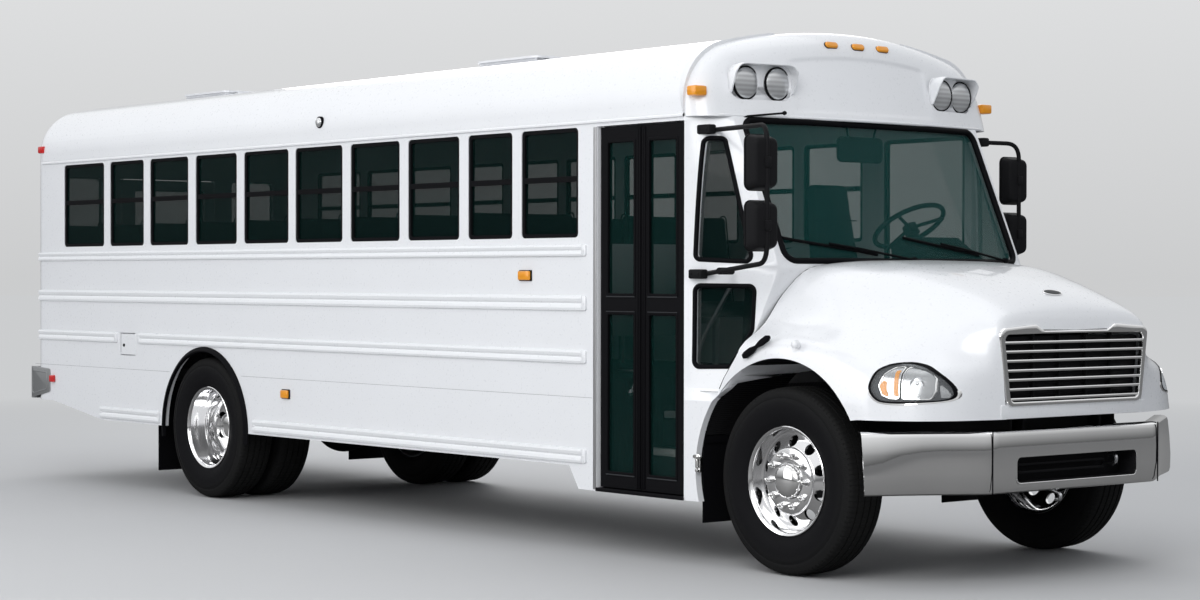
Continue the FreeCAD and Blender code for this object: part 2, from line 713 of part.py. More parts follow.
def make_floor(walls):
    """Cabin floor with cross sills and boxes over the rear wheels."""
    rear, front = BODY_REAR_X + WALL + SEAT_GAP, at(-430)
    half = INNER_Y - SEAT_GAP
    slab_low = FLOOR_Z - 40
    deck = box((rear, front), (-half, half), (slab_low, FLOOR_Z))
    deck = deck.cut(rod((AXLE_X, -2000, FRONT_ARCH_Z), (AXLE_X, 2000, FRONT_ARCH_Z), SHIELD_RING[1]))
    sills = []
    x = rear + 60
    while x < at(DOOR_BACK) - 200:
        if abs(x - REAR_AXLE_X) > HOUSE_HALF + 80:
            sills.append(box((x, x + 60), (-half, half), (RAIL_HIGH + SEAT_GAP, slab_low)))
        else:
            sills.append(box((x, x + 60), (-HOUSE_IN + 60, HOUSE_IN - 60), (RAIL_HIGH + SEAT_GAP, slab_low)))
        x += SILL_PITCH
    sills.append(box((at(-660), at(-600)), (-HOUSE_IN, HOUSE_IN), (RAIL_HIGH + SEAT_GAP, slab_low)))
    well = box((at(DOOR_BACK) - SHEET - SEAT_GAP, at(DOOR_FRONT) + SHEET + SEAT_GAP),
               (-2000, STEP_WELL_Y + SHEET + SEAT_GAP), (0, 2000))
    houses = []
    x0, x1 = REAR_AXLE_X - HOUSE_HALF, REAR_AXLE_X + HOUSE_HALF
    for y0, y1 in ((-half, -HOUSE_IN), (HOUSE_IN, half)):
        outer = box((x0, x1), (y0, y1), (slab_low, HOUSE_TOP))
        inner = box((x0 + 8, x1 - 8), (y0 + (8 if y0 > 0 else -1), y1 - (8 if y1 < 0 else -1)),
                    (slab_low - 1, HOUSE_TOP - 8))
        deck = deck.cut(outer)
        houses.append(outer.cut(inner))
    floor = fuse([deck.cut(well)] + sills)
    for wall in walls:
        floor = floor.cut(wall)
    return group([max(floor.Solids, key=lambda s: s.Volume)] + houses)


# ---------------------------------------------------------------- chassis
RAIL_FRONT = 980.0         # the hood's lower lip swings down ahead of the rails
CROSS_AT = (-8520.0, -7380.0, -6700.0, -5350.0, -4450.0, -3550.0, -2650.0, -1750.0, -1200.0)
TOW_EYE_R = 20.0
TOW_EYE_X = 900.0
TOW_EYE_REAR = 150.0       # rear tow eye ahead of the rear wall


def make_chassis():
    """Two channel rails, cross members, tow eyes and hood hinge ears."""
    x0, x1 = BODY_REAR_X + WALL + SEAT_GAP, at(RAIL_FRONT)
    outer = box((x0, x1), (FRAME_HALF - RAIL_W, FRAME_HALF), (RAIL_LOW, RAIL_HIGH))
    hollow = box((x0 - 1, x1 + 1), (FRAME_HALF - RAIL_W - 1, FRAME_HALF - RAIL_T),
                 (RAIL_LOW + RAIL_T, RAIL_HIGH - RAIL_T))
    rails = both_sides(outer.cut(hollow))
    inner = FRAME_HALF - RAIL_T
    cross = [box((at(a), at(a) + 90), (-inner, inner), (RAIL_LOW + 60, RAIL_HIGH - 60)) for a in CROSS_AT]
    cross.append(box((at(890), at(970)), (-inner, inner), (RAIL_LOW + RAIL_T, RAIL_LOW + 90)))
    hx, hz = at(HOOD_HINGE[0]), HOOD_HINGE[1]
    ears = []
    for side in (-1, 1):
        y = side * HOOD_HINGE_Y
        outline = [(at(900), RAIL_LOW + 20), (at(965), RAIL_LOW + 20), (at(975), hz - 34),
                   (hx + 16, hz - 20), (hx + 24, hz), (hx, hz + 24), (hx - 24, hz), (at(900), hz - 100)]
        arm = slab("y", outline, (y - 10, y + 10))
        ears += [arm, rod((hx, y - 34, hz), (hx, y + 34, hz), HINGE_PIN_R)]
    eyes = []
    for x in (at(TOW_EYE_X), BODY_REAR_X + TOW_EYE_REAR):
        outline = [(x - 60, RAIL_LOW + 5), (x - 30, RAIL_LOW - 95), (x + 30, RAIL_LOW - 95),
                   (x + 60, RAIL_LOW + 5)]
        plate = slab("y", outline, (FRAME_HALF - 40, FRAME_HALF - 10), [0, 28, 28, 0])
        plate = plate.cut(rod((x, 0, RAIL_LOW - 58), (x, 900, RAIL_LOW - 58), TOW_EYE_R))
        eyes += both_sides(plate)
    return fuse(rails + cross + ears + eyes)


def make_engine():
    """Engine as one plain block with its mounts on the rails."""
    block = slab("x", rect((-290, 290), (620, 1400)), (at(ENGINE_BACK), at(700)), 60)
    reach = FRAME_HALF - RAIL_T - SEAT_GAP
    feet = box((at(100), at(200)), (-reach, reach), (740, 820))
    return fuse([block, feet])


def make_radiator():
    """Radiator behind the grille, standing on the front cross member."""
    low = RAIL_LOW + 90 + SEAT_GAP
    core = box((at(860), at(915)), (-280, 280), (low, 1380))
    foot = box((at(860), at(960)), (-280, 280), (low, low + 20))
    return fuse([core, foot])


def make_drive_line():
    """Gearbox and shaft to the rear axle."""
    box_end = at(-1050)
    gearbox = slab("x", rect((-210, 210), (560, 890)), (box_end, at(ENGINE_BACK) - SEAT_GAP), 60)
    shaft = rod((box_end, 0, 640), (REAR_AXLE_X + 260, 0, TYRE_R), 50)
    return fuse([gearbox, shaft])


def make_exhaust():
    """Muffler and tail pipe on the left, hung from the frame."""
    y = 700.0
    muffler = rod((at(-3300), y, 640), (at(-2200), y, 640), 120)
    pipe = tube_path([(at(-2200), y, 640), (at(-1500), y, 600), (at(-1150), y, 590), (at(-1040), 300, 590),
                      (at(-1040), 211, 590)], 40)
    tail = tube_path([(at(-3300), y, 640), (at(-4600), y, 640), (at(-4950), 515, 710),
                      (at(-7200), 515, 710), (at(-7600), 560, 530), (BODY_REAR_X + 60, 560, 530)], 40)
    hangers = [box((at(a), at(a) + 40), (FRAME_HALF + SEAT_GAP, y), (670, 710)) for a in (-2500, -3000)]
    return fuse([muffler, pipe, tail] + hangers)


def make_fuel_tank():
    """Tank between the rails behind the rear axle, with straps to the rails."""
    half = FRAME_HALF - RAIL_W - SEAT_GAP
    return slab("x", rect((-200, half), (480, 850)), (at(-8300), at(-7500)), 60)


# Front axle
def make_front_axle():
    """Beam between the kingpins."""
    low = [(-KINGPIN_Y, TYRE_R - 45), (-620, TYRE_R - 95), (620, TYRE_R - 95), (KINGPIN_Y, TYRE_R - 45)]
    high = [(KINGPIN_Y, TYRE_R + 45), (620, TYRE_R - 5), (-620, TYRE_R - 5), (-KINGPIN_Y, TYRE_R + 45)]
    beam = slab("x", low + high, (AXLE_X - 45, AXLE_X + 45))
    bosses = both_sides(rod((AXLE_X, -KINGPIN_Y, TYRE_R - 55), (AXLE_X, -KINGPIN_Y, TYRE_R + 55), 48))
    pads = both_sides(box((AXLE_X - 70, AXLE_X + 70), (-FRAME_HALF, -FRAME_HALF + RAIL_W),
                          (TYRE_R - 95, TYRE_R + 15)))
    axle = fuse([beam] + bosses + pads)
    for hole in both_sides(rod((AXLE_X, -KINGPIN_Y, 0), (AXLE_X, -KINGPIN_Y, 1000), KINGPIN_R + SEAT_GAP)):
        axle = axle.cut(hole)
    return axle


def make_knuckle():
    """Right steering knuckle: yoke, kingpin and spindle."""
    y = -KINGPIN_Y
    ears = [rod((AXLE_X, y, TYRE_R + a), (AXLE_X, y, TYRE_R + b), 44) for a, b in
            ((-100, -55 - SEAT_GAP), (55 + SEAT_GAP, 100))]
    yoke = box((AXLE_X - 40, AXLE_X + 40), (y - 80, y - 54), (TYRE_R - 100, TYRE_R + 100))
    arms = [box((AXLE_X - 40, AXLE_X + 40), (y - 54, y), (TYRE_R + a, TYRE_R + b)) for a, b in
            ((-100, -55 - SEAT_GAP), (55 + SEAT_GAP, 100))]
    pin = rod((AXLE_X, y, TYRE_R - 90), (AXLE_X, y, TYRE_R + 90), KINGPIN_R)
    spindle = rod((AXLE_X, y - 70, TYRE_R), (AXLE_X, y - 230, TYRE_R), SPINDLE_R)
    return fuse(ears + arms + [yoke, pin, spindle])


def make_springs():
    """Leaf springs between the rails and the axles, front and rear."""
    springs = []
    for axle_x, seat in ((AXLE_X, TYRE_R + 15 + SEAT_GAP), (REAR_AXLE_X, TYRE_R + 75 + SEAT_GAP)):
        y = (-FRAME_HALF + 5, -FRAME_HALF + RAIL_W - 5)
        rise = RAIL_LOW - SEAT_GAP
        leaf_pts = [(axle_x - 650, rise - 25), (axle_x, seat), (axle_x + 650, rise - 25),
                    (axle_x + 650, rise), (axle_x, seat + 45), (axle_x - 650, rise)]
        spring = slab("y", leaf_pts, y)
        hangers = [box((axle_x + a - 30, axle_x + a + 30), y, (rise - 40, rise)) for a in (-620, 620)]
        springs += both_sides(fuse([spring] + hangers))
    return springs


def make_rear_axle():
    """Rear axle housing with its tubes and spindles."""
    tube = rod((REAR_AXLE_X, -700, TYRE_R), (REAR_AXLE_X, 700, TYRE_R), 65)
    drum = Part.makeSphere(230, V(REAR_AXLE_X, 0, TYRE_R))
    spindles = both_sides(rod((REAR_AXLE_X, -1000, TYRE_R), (REAR_AXLE_X, -700, TYRE_R), SPINDLE_R))
    pads = both_sides(box((REAR_AXLE_X - 70, REAR_AXLE_X + 70), (-FRAME_HALF, -FRAME_HALF + RAIL_W),
                          (TYRE_R - 65, TYRE_R + 75)))
    return fuse([tube, drum] + spindles + pads)


# ---------------------------------------------------------------- wheels
def tyre(x, y):
    """Tyre about an axle line, its middle plane at y."""
    half, seat = TYRE_W / 2, RIM_W / 2 - FLANGE_T
    side = [(seat, RIM_R), (seat, FLANGE_R + 6), (half - 6, FLANGE_R + 55), (half, FLANGE_R + 110),
            (half - 8, TYRE_R - 55), (half - 26, TYRE_R - 14), (half - 50, TYRE_R)]
    rows = side + [(-a, r) for a, r in side[::-1]]
    return turned([(y + a, r) for a, r in rows], x, TYRE_R)


def barrel(x, y):
    """Rim barrel with its flanges."""
    half, inner = RIM_W / 2, RIM_R - RIM_WALL
    side = [(half, inner), (half, FLANGE_R), (half - FLANGE_T, FLANGE_R), (half - FLANGE_T, RIM_R)]
    rows = side + [(-a, r) for a, r in side[::-1]]
    return turned([(y + a, r) for a, r in rows], x, TYRE_R)


def disc(x, rows, out):
    """Wheel disc with its hand holes; rows are (y, radius)."""
    plate = turned(rows, x, TYRE_R)
    for i in range(HAND_HOLES):
        angle = 2 * math.pi * (i + 0.5) / HAND_HOLES
        cx, cz = x + HAND_HOLE_PCR * math.cos(angle), TYRE_R + HAND_HOLE_PCR * math.sin(angle)
        plate = plate.cut(rod((cx, out - 400, cz), (cx, out + 400, cz), HAND_HOLE_R))
    return plate


def studs(x, y0, y1):
    """Ring of wheel nuts."""
    nuts = []
    for i in range(STUD_COUNT):
        angle = 2 * math.pi * i / STUD_COUNT
        cx, cz = x + STUD_PCR * math.cos(angle), TYRE_R + STUD_PCR * math.sin(angle)
        nuts.append(rod((cx, y0, cz), (cx, y1, cz), 17))
    return nuts


def make_front_rim():
    """Right front rim: its disc bulges outwards to the hub."""
    x, y = AXLE_X, -FRONT_TRACK_Y
    rim = barrel(x, y)
    inner = RIM_R - RIM_WALL
    face = y - 75
    rows = [(y - 40, inner + 2), (y - 55, inner + 2), (face - 28, 180), (face - 32, 100),
            (face - 14, 100), (face - 10, 176), (y - 32, inner - 30), (y - 28, inner + 2)]
    plate = disc(x, rows, y)
    bore = SPINDLE_R + SEAT_GAP
    hub_rows = [(y + 60, bore), (y + 60, 105), (face - 20, 105), (face - 50, 96), (face - 66, 60),
                (face - 66, 0), (face - 30, 0), (face - 30, bore)]
    hub = turned(hub_rows, x, TYRE_R)
    nuts = studs(x, face - 62, face - 20)
    return fuse([rim, plate, hub] + nuts)


def make_rear_rims():
    """Right rear twin rims with the hub between them."""
    x, y = REAR_AXLE_X, -REAR_OUTER_Y
    mid = y + DUAL_SPACING / 2
    inner = RIM_R - RIM_WALL
    pieces = [barrel(x, y), barrel(x, y + DUAL_SPACING)]
    outer_edge, inner_edge = y + RIM_W / 2, y + DUAL_SPACING - RIM_W / 2
    rows = [(outer_edge - 30, inner + 2), (outer_edge - 16, inner + 2), (mid, 190), (mid, 90),
            (mid - 14, 90), (mid - 14, 185)]
    back = [(inner_edge + 30, inner + 2), (inner_edge + 16, inner + 2), (mid, 190), (mid, 90),
            (mid + 14, 90), (mid + 14, 185)]
    pieces.append(disc(x, rows, y))
    pieces.append(disc(x, back, y))
    bore = SPINDLE_R + SEAT_GAP
    hub_rows = [(mid + 120, bore), (mid + 120, 110), (mid - 60, 110), (mid - 75, 95), (mid - 130, 95),
                (mid - 145, 80), (mid - 145, 0), (mid - 100, 0), (mid - 100, bore)]
    pieces.append(turned(hub_rows, x, TYRE_R))
    pieces += studs(x, mid - 44, mid)
    return fuse(pieces)


# ---------------------------------------------------------------- hood
# Hood sections from rear to front, as half outlines from the middle down:
# place, middle height, (y, z) of shoulder, waist, crown of the fender, its side, bottom.
HOOD_SECTIONS = (
    (-620.0, 1716.0, (820, 1690), (1000, 1560), (1070, 1330), (1195, 1180), (1195, 640)),
    (-60.0, 1716.0, (800, 1684), (950, 1560), (1020, 1400), (1195, 1230), (1195, 640)),
    (300.0, 1690.0, (720, 1640), (860, 1510), (990, 1380), (1195, 1200), (1195, 640)),
    (620.0, 1610.0, (640, 1560), (760, 1430), (960, 1260), (1190, 1130), (1195, 875)),
    (860.0, 1520.0, (590, 1480), (700, 1350), (800, 1180), (1000, 1080), (1040, 880)),
    (1010.0, 1445.0, (560, 1420), (650, 1330), (670, 1180), (720, 1080), (760, 880)),
    (1056.0, 1400.0, (540, 1385), (625, 1310), (630, 1180), (640, 1080), (650, 880)),
)
HOOD_T = 14.0
HOOD_LOW = 880.0
HOOD_GAP = 8.0
FRONT_ARCH_R = 640.0
FRONT_ARCH_Z = 548.0
LINER_T = 6.0
LINER_BACK = -250.0        # the liner's end swings past the cowl as the hood tilts
SHIELD_RING = (650.0, 656.0)


def hood_block(inset):
    """Solid form of the hood with its fenders."""
    wires = []
    for index, (place, middle, *points) in enumerate(HOOD_SECTIONS):
        x = at(place)
        if index == len(HOOD_SECTIONS) - 1:
            x -= inset
        half = [(0, middle - inset)] + [(y - inset, z - inset * 0.8) for y, z in points[:-1]]
        half.append((points[-1][0] - inset, points[-1][1] - (1 if inset else 0)))
        right = [V(x, -y, z) for y, z in half]
        left = [V(x, y, z) for y, z in half[1:]][::-1]
        outline = right + left
        wires.append(Part.makePolygon(outline + [outline[0]]))
    return Part.makeLoft(wires, True, True)


# Rear seam of the hood at its side: ahead of the front axle and height.
HOOD_SEAM = ((-150, 1800), (-275, 1560), (-275, 1310), (-470, 985), (-470, 500))


def hood_rear_cut():
    """Everything behind the hood's rear seam."""
    gap = HOOD_GAP
    side = slab("y", [(at(a) + gap, z) for a, z in HOOD_SEAM] + [(at(-1500), 500), (at(-1500), 1800)],
                (-2000, 2000))
    return side


def make_hood(cowl_solid):
    """Hood shell, its wheel arches open and its nose cut for the grille."""
    shell = hood_block(0).cut(hood_block(HOOD_T))
    far = 3000
    shell = shell.cut(hood_rear_cut())
    grown = cowl_solid.copy()
    grown.translate(V(HOOD_GAP, 0, 0))
    shell = shell.cut(grown).cut(cowl_solid)
    arch = rod((AXLE_X, -far, FRONT_ARCH_Z), (AXLE_X, far, FRONT_ARCH_Z), FRONT_ARCH_R)
    shell = shell.cut(arch)
    shell = shell.cut(box((at(200), at(1200)), (-far, far), (0, HOOD_LOW)))
    shell = shell.cut(box((at(-1000), at(200)), (-far, far), (0, 690)))
    mouth = slab("x", GRILLE_OUTLINE, (at(900), at(1200)), 40)
    shell = shell.cut(mouth)
    hx, hz = at(HOOD_HINGE[0]), HOOD_HINGE[1]
    lugs = []
    for side in (-1, 1):
        for out in (-18, 18):
            y = side * HOOD_HINGE_Y + out
            lugs.append((y - 6, y + 6, hx, hz))
    solids = sorted(shell.Solids, key=lambda s: s.Volume)
    return solids[-1], lugs


GRILLE_OUTLINE = ((-610, 1355), (-555, 930), (555, 930), (610, 1355))
GRILLE_BARS = (1280, 1232, 1183, 1132, 1083, 1033, 981)
GRILLE_RIM = 34.0


def grille_half(z):
    """Half width of the grille's opening at a height."""
    top, low = GRILLE_OUTLINE[0], GRILLE_OUTLINE[1]
    share = (z - low[1]) / (top[1] - low[1])
    return -(low[0] + (top[0] - low[0]) * share) - GRILLE_RIM


def make_grille():
    """Grille surround with its bars."""
    x = (at(1040), at(1072))
    outer = slab("x", GRILLE_OUTLINE, x, 40)
    rim = GRILLE_RIM
    inner_pts = [(y + rim * (1 if y < 0 else -1), z + rim * (1 if z < 1100 else -1))
                 for y, z in GRILLE_OUTLINE]
    frame = outer.cut(slab("x", inner_pts, (x[0] - 1, x[1] + 1), 26))
    bars = []
    for z in GRILLE_BARS:
        reach = grille_half(z) + 6
        bars.append(rod((at(1056), -reach, z), (at(1056), reach, z), 9))
    ties = [box((at(1050), at(1060)), (y - 5, y + 5), (940, 1340)) for y in (-250, 250)]
    return fuse([frame] + bars + ties)


def make_liners():
    """Splash liners inside the front arches."""
    far = 1185
    outer = ring_y(AXLE_X, FRONT_ARCH_Z, FRONT_ARCH_R + LINER_T, FRONT_ARCH_R, (-far, -700))
    keep = box((at(LINER_BACK), at(700)), (-far, -700), (HOOD_LOW, 2000))
    return outer.common(keep)


def make_shields():
    """Fixed splash shields behind the front wheels, under the body."""
    ring = ring_y(AXLE_X, FRONT_ARCH_Z, SHIELD_RING[1], SHIELD_RING[0], (-1170, -690))
    return ring.common(box((at(-700), at(-340)), (-1170, -690), (735, 2000)))


HEADLAMP = ((700, 1020), (905, 985), (975, 1045), (900, 1130), (760, 1180), (660, 1150))


def make_headlamps(hood_outer, hood_inner):
    """Headlamps: a skin piece of the fender inside the lamp's outline."""
    prism = slab("y", [(at(x), z) for x, z in HEADLAMP], (-1300, -500), 20)
    lamp = hood_outer.cut(hood_inner).common(prism)
    solids = sorted(lamp.Solids, key=lambda s: s.Volume)
    return solids[-1], prism


# ---------------------------------------------------------------- bumpers, flares, flaps
BUMPER_LOW = 487.0
BUMPER_HIGH = 823.0
BUMPER_T = 12.0
BUMPER_PLAN = ((690, 1278), (1086, 685))
BUMPER_LIP = 34.0
SLOT_HALF = 500.0
SLOT_Z = (538.0, 680.0)


def bumper_form(inset, low, high):
    """Solid form of the bumper's wrap in plan."""
    (end_x, end_y), (bend_x, bend_y) = BUMPER_PLAN
    pts = [(at(end_x), -end_y + inset), (at(bend_x) - inset, -bend_y), (at(bend_x) - inset, bend_y),
           (at(end_x), end_y - inset)]
    return slab("z", pts, (low, high), [0, 60, 60, 0])


def make_front_bumper():
    """Three-section bumper with returns, slot and brackets to the rails."""
    wrap = bumper_form(0, BUMPER_LOW, BUMPER_HIGH)
    inner = bumper_form(BUMPER_T, BUMPER_LOW - 1, BUMPER_HIGH + 1)
    face = wrap.cut(inner)
    back = box((at(500), at(BUMPER_PLAN[0][0]) + 14), (-2000, 2000), (0, 2000))
    bracket_x = (at(RAIL_FRONT) + SEAT_GAP, at(BUMPER_PLAN[1][0]) - BUMPER_T)
    band = wrap.cut(bumper_form(BUMPER_LIP, 0, 2000))
    top = band.common(box((0, 9000), (-2000, 2000), (BUMPER_HIGH - BUMPER_T, BUMPER_HIGH)))
    low = band.common(box((0, 9000), (-2000, 2000), (BUMPER_LOW, BUMPER_LOW + BUMPER_T)))
    slot = slab("x", rect((-SLOT_HALF, SLOT_HALF), SLOT_Z), (at(900), at(1200)), 30)
    brackets = [box(bracket_x, (y - 35, y + 35), (RAIL_LOW, BUMPER_HIGH - BUMPER_T))
                for y in (-FRAME_HALF + 40, FRAME_HALF - 40)]
    shape = fuse([face, top, low] + brackets)
    return shape.cut(slot).cut(back)


def make_rear_bumper():
    """Rear bumper: a channel across the back with wrapped ends."""
    x0, x1 = REAR_X, BODY_REAR_X + 290
    outer = slab("z", rect((x0, x1), (-HALF_W - 8, HALF_W + 8)), (628, 887), [60, 0, 0, 60])
    inner = slab("z", rect((x0 + 10, x1 + 1), (-HALF_W + 2, HALF_W - 2)), (600, 900), [50, 0, 0, 50])
    bumper = outer.cut(inner)
    clear = body_block(-SEAT_GAP, 500, x1 + 50).cut(box((x1, x1 + 99), (-2000, 2000), (0, 3000)))
    bumper = bumper.cut(clear)
    pads = [box((x0 + 10, BODY_REAR_X - SEAT_GAP), (y - 40, y + 40), (680, 860)) for y in
            (-FRAME_HALF + 40, FRAME_HALF - 40)]
    return bumper, pads


def make_flares():
    """Rubber flares around the rear arches."""
    y = (-HALF_W - 26, -HALF_W - SEAT_GAP)
    flare = ring_y(REAR_AXLE_X, TYRE_R - 20, ARCH_R + FLARE_W, ARCH_R - 6, y)
    flare = flare.common(box((-9000, 9000), (-2000, 0), (SKIRT_Z, 2000)))
    for low, high, _ in RUB_RAILS:
        flare = flare.cut(box((-9000, 9000), (-HALF_W - RUB_RAIL_T - 1, 0), (low - 1, high + 1)))
    return both_sides(max(flare.Solids, key=lambda s: s.Volume))


def make_flaps():
    """Mud flaps behind the front and rear wheels, on brackets from the rails."""
    rear = box((REAR_AXLE_X - 790, REAR_AXLE_X - 780), (-HALF_W + 60, -HALF_W + 655), (150, 800))
    arm = box((REAR_AXLE_X - 800, REAR_AXLE_X - 770), (-HALF_W + 60, -FRAME_HALF - SEAT_GAP), (790, 830))
    front = box((at(-640), at(-632)), (-INNER_Y + 10, -800), (240, 620))
    front_arm = box((at(-650), at(-622)), (-INNER_Y + 10, -FRAME_HALF - SEAT_GAP), (690, 730))
    strap = box((at(-640), at(-632)), (-INNER_Y + 10, -800), (600, 700))
    return both_sides(fuse([rear, arm])) + both_sides(fuse([front, strap, front_arm]))


# ---------------------------------------------------------------- mirrors
# Arms: place ahead of the front axle, y and z of each bend, from the upper to the lower bracket.
RIGHT_ARM = ((-640, -1080, 2454), (180, -1450, 2430), (180, -1450, 1700), (-640, -1160, 1640))
LEFT_ARM = ((-640, 1080, 2462), (-590, 1450, 2462), (-590, 1450, 1800), (-640, 1160, 1650))
ARM_R = 14.0
MIRROR_HEADS = ((2080, 2383), (1759, 2032))
MIRROR_HALF_W = 95.0
MIRROR_DEPTH = 75.0


def make_mirrors(cowl, panes):
    """Mirror arms with their heads, seated on the front pillars, and the mirror glasses."""
    arms, glasses = [], []
    for path in (RIGHT_ARM, LEFT_ARM):
        pts = [(at(a), b, c) for a, b, c in path]
        pieces = [tube_path(pts, ARM_R)]
        x_arm, y = pts[1][0], pts[1][1]
        for low, high in MIRROR_HEADS:
            back = x_arm - ARM_R - MIRROR_DEPTH + 10
            head = slab("x", rect((y - MIRROR_HALF_W, y + MIRROR_HALF_W), (low, high)), (back, x_arm), 45)
            glass = slab("x", rect((y - MIRROR_HALF_W + 10, y + MIRROR_HALF_W - 10), (low + 10, high - 10)),
                         (back, back + 4), 36)
            pieces.append(head.cut(glass))
            glasses.append(glass)
        arm = fuse(pieces).cut(cowl).cut(panes)
        arms.append(max(arm.Solids, key=lambda s: s.Volume))
    return arms, glasses


# ---------------------------------------------------------------- cabin
SEAT_PITCH = 690.0
SEAT_ROWS = 9
FIRST_SEAT = -2500.0
SEAT_W = 960.0
SEAT_DEPTH = 400.0
CUSHION_Z = (1350.0, 1460.0)
BACK_TOP = 2060.0
COLUMN_Y = 560.0
WHEEL_CENTRE = (at(-690), COLUMN_Y, 1935.0)
WHEEL_AXIS = (-0.55, 0.0, 0.835)
WHEEL_BASE = tuple(c - 60 * a for c, a in zip(WHEEL_CENTRE, WHEEL_AXIS))
STEERING_R = 225.0


def make_benches():
    """Bench seats in two columns: soft parts, and the frames they stand on."""
    soft, frames = [], []
    for side in (-1, 1):
        for row in range(SEAT_ROWS):
            x = at(FIRST_SEAT - row * SEAT_PITCH)
            y0 = side * (INNER_Y - 20 - SEAT_W / 2)
            y = (y0 - SEAT_W / 2, y0 + SEAT_W / 2)
            cushion = slab("y", rect((x - SEAT_DEPTH, x + 30), CUSHION_Z), y, 30)
            back = slab("y", [(x - SEAT_DEPTH + 40, CUSHION_Z[0]), (x - SEAT_DEPTH - 50, BACK_TOP),
                              (x - SEAT_DEPTH - 140, BACK_TOP), (x - SEAT_DEPTH - 60, CUSHION_Z[0])], y, 28)
            soft.append(fuse([cushion, back]))
            legs = [box((x - 360, x - 20), (y0 - 40, y0 - 10), (CUSHION_Z[0] - 40, CUSHION_Z[0] - SEAT_GAP))]
            for a in (-350, -60):
                base = FLOOR_Z
                if abs(x + a - REAR_AXLE_X) < HOUSE_HALF + 40:
                    base = HOUSE_TOP
                leg_z = (base + SEAT_GAP, CUSHION_Z[0] - 20)
                legs.append(box((x + a, x + a + 30), (y0 - 40, y0 - 10), leg_z))
            frames.append(fuse(legs))
    return soft, frames


def make_driver_seat():
    """Driver's seat on its pedestal."""
    x, y = at(-1060), COLUMN_Y
    cushion = slab("y", rect((x - 230, x + 250), (1480, 1600)), (y - 240, y + 240), 30)
    outline = [(x - 180, 1500), (x - 290, 2230), (x - 400, 2230), (x - 300, 1500)]
    back = slab("y", outline, (y - 230, y + 230), 35)
    base = box((x - 170, x + 170), (y - 160, y + 160), (FLOOR_Z + SEAT_GAP, 1490))
    return fuse([cushion, back, base])


def make_dashboard():
    """Dashboard across the front with the steering column."""
    pts = [(at(-600), 1180), (at(-560), 1640), (at(-420), 1690), (at(-290), 1690), (at(-290), 1180)]
    dash = slab("y", pts, (-940, 940), [20, 60, 20, 0, 0]).common(cowl_block(WALL + SEAT_GAP))
    column = rod(tuple(c - 420 * a for c, a in zip(WHEEL_CENTRE, WHEEL_AXIS)), WHEEL_BASE, 32)
    return fuse([dash, column])


def make_steering_wheel():
    """Steering wheel: ring, hub and three spokes."""
    centre, axis = V(*WHEEL_CENTRE), V(*WHEEL_AXIS)
    axis.normalize()
    ring = Part.makeTorus(STEERING_R, 15, centre, axis)
    base = centre - axis * (60 - SEAT_GAP)
    hub = Part.makeCylinder(45, 60, base, axis)
    side = V(0, 1, 0)
    up = axis.cross(side)
    spokes = []
    for angle in (90, 210, 330):
        toward = side * math.cos(math.radians(angle)) + up * math.sin(math.radians(angle))
        spokes.append(Part.makeCylinder(11, STEERING_R, centre - axis * 14, toward))
    return fuse([ring, hub] + spokes)


def make_rails_inside():
    """Grab rails at the entrance."""
    post_x = at(DOOR_BACK) - 60
    post = rod((post_x, -520, FLOOR_Z + SEAT_GAP), (post_x, -520, ROOF_Z - 140), 16)
    panel = box((post_x - 12, post_x + 12), (-1150, -520), (FLOOR_Z + 250, FLOOR_Z + 800))
    return [fuse([post, panel])]


# ---------------------------------------------------------------- small lamps
def side_lamps():
    """Amber and red lamps on walls and roof, right side and left side alike."""
    amber, red = [], []
    y = (-HALF_W - 26, -HALF_W - SEAT_GAP)
    for x, z, w in ((-4927, 803, 90), (-2198, 1631, 110)):
        amber += both_sides(slab("y", rect((at(x - w / 2), at(x + w / 2)), (z - 28, z + 28)), y, 8))
    red += both_sides(slab("y", rect((at(-8475), at(-8403)), (768, 824)), y, 8))
    return amber, red


# Lamps on the shoulders of the roof: ahead of the front axle, height, length along the bus.
SHOULDER_LAMPS = ((-637, 2671, 110), (-4503, 2676, 70), (-8640, 2650, 80))


def shoulder_lamps(seats):
    """Lamps seated on the roof's shoulders: amber in front, clear in the middle, red at the rear."""
    lamps = []
    for ahead, z, w in SHOULDER_LAMPS:
        high = z - 2670 + SPLIT_Z + 140
        outline = rect((at(ahead - w / 2), at(ahead + w / 2)), (high - 28, high + 28))
        block = slab("y", outline, (-HALF_W - 24, -HALF_W + 90), 8)
        outside = min(block.cut(seats).Solids, key=lambda s: s.BoundBox.YMin)
        lamps.append(both_sides(outside))
    return lamps


REAR_WARNING_DROP = 425.0      # warning lamps below the roof's crown
REAR_CLEARANCE_DROP = 285.0    # clearance lamps below it


def rear_lamps():
    """Lamps on the rear wall: red clusters, warning lamps and clearance lamps."""
    x = (BODY_REAR_X - 26, BODY_REAR_X - SEAT_GAP)
    red, amber, clear = [], [], []
    for y, z, w, h in ((880, 1620, 180, 180), (1010, 1300, 120, 120)):
        red += both_sides(slab("x", rect((-y - w / 2, -y + w / 2), (z - h / 2, z + h / 2)), x, 30))
    amber += both_sides(slab("x", rect((-840, -720), (1240, 1360)), x, 30))
    high = ROOF_Z - REAR_WARNING_DROP
    for y in WARNING_Y:
        clear += both_sides(rod((x[0], -y, high), (x[1], -y, high), WARNING_R))
    high = ROOF_Z - REAR_CLEARANCE_DROP
    for y in (-CLEARANCE_Y, 0, CLEARANCE_Y):
        red.append(slab("x", rect((y - 48, y + 48), (high - 20, high + 20)), x, 8))
    return red, amber, clear


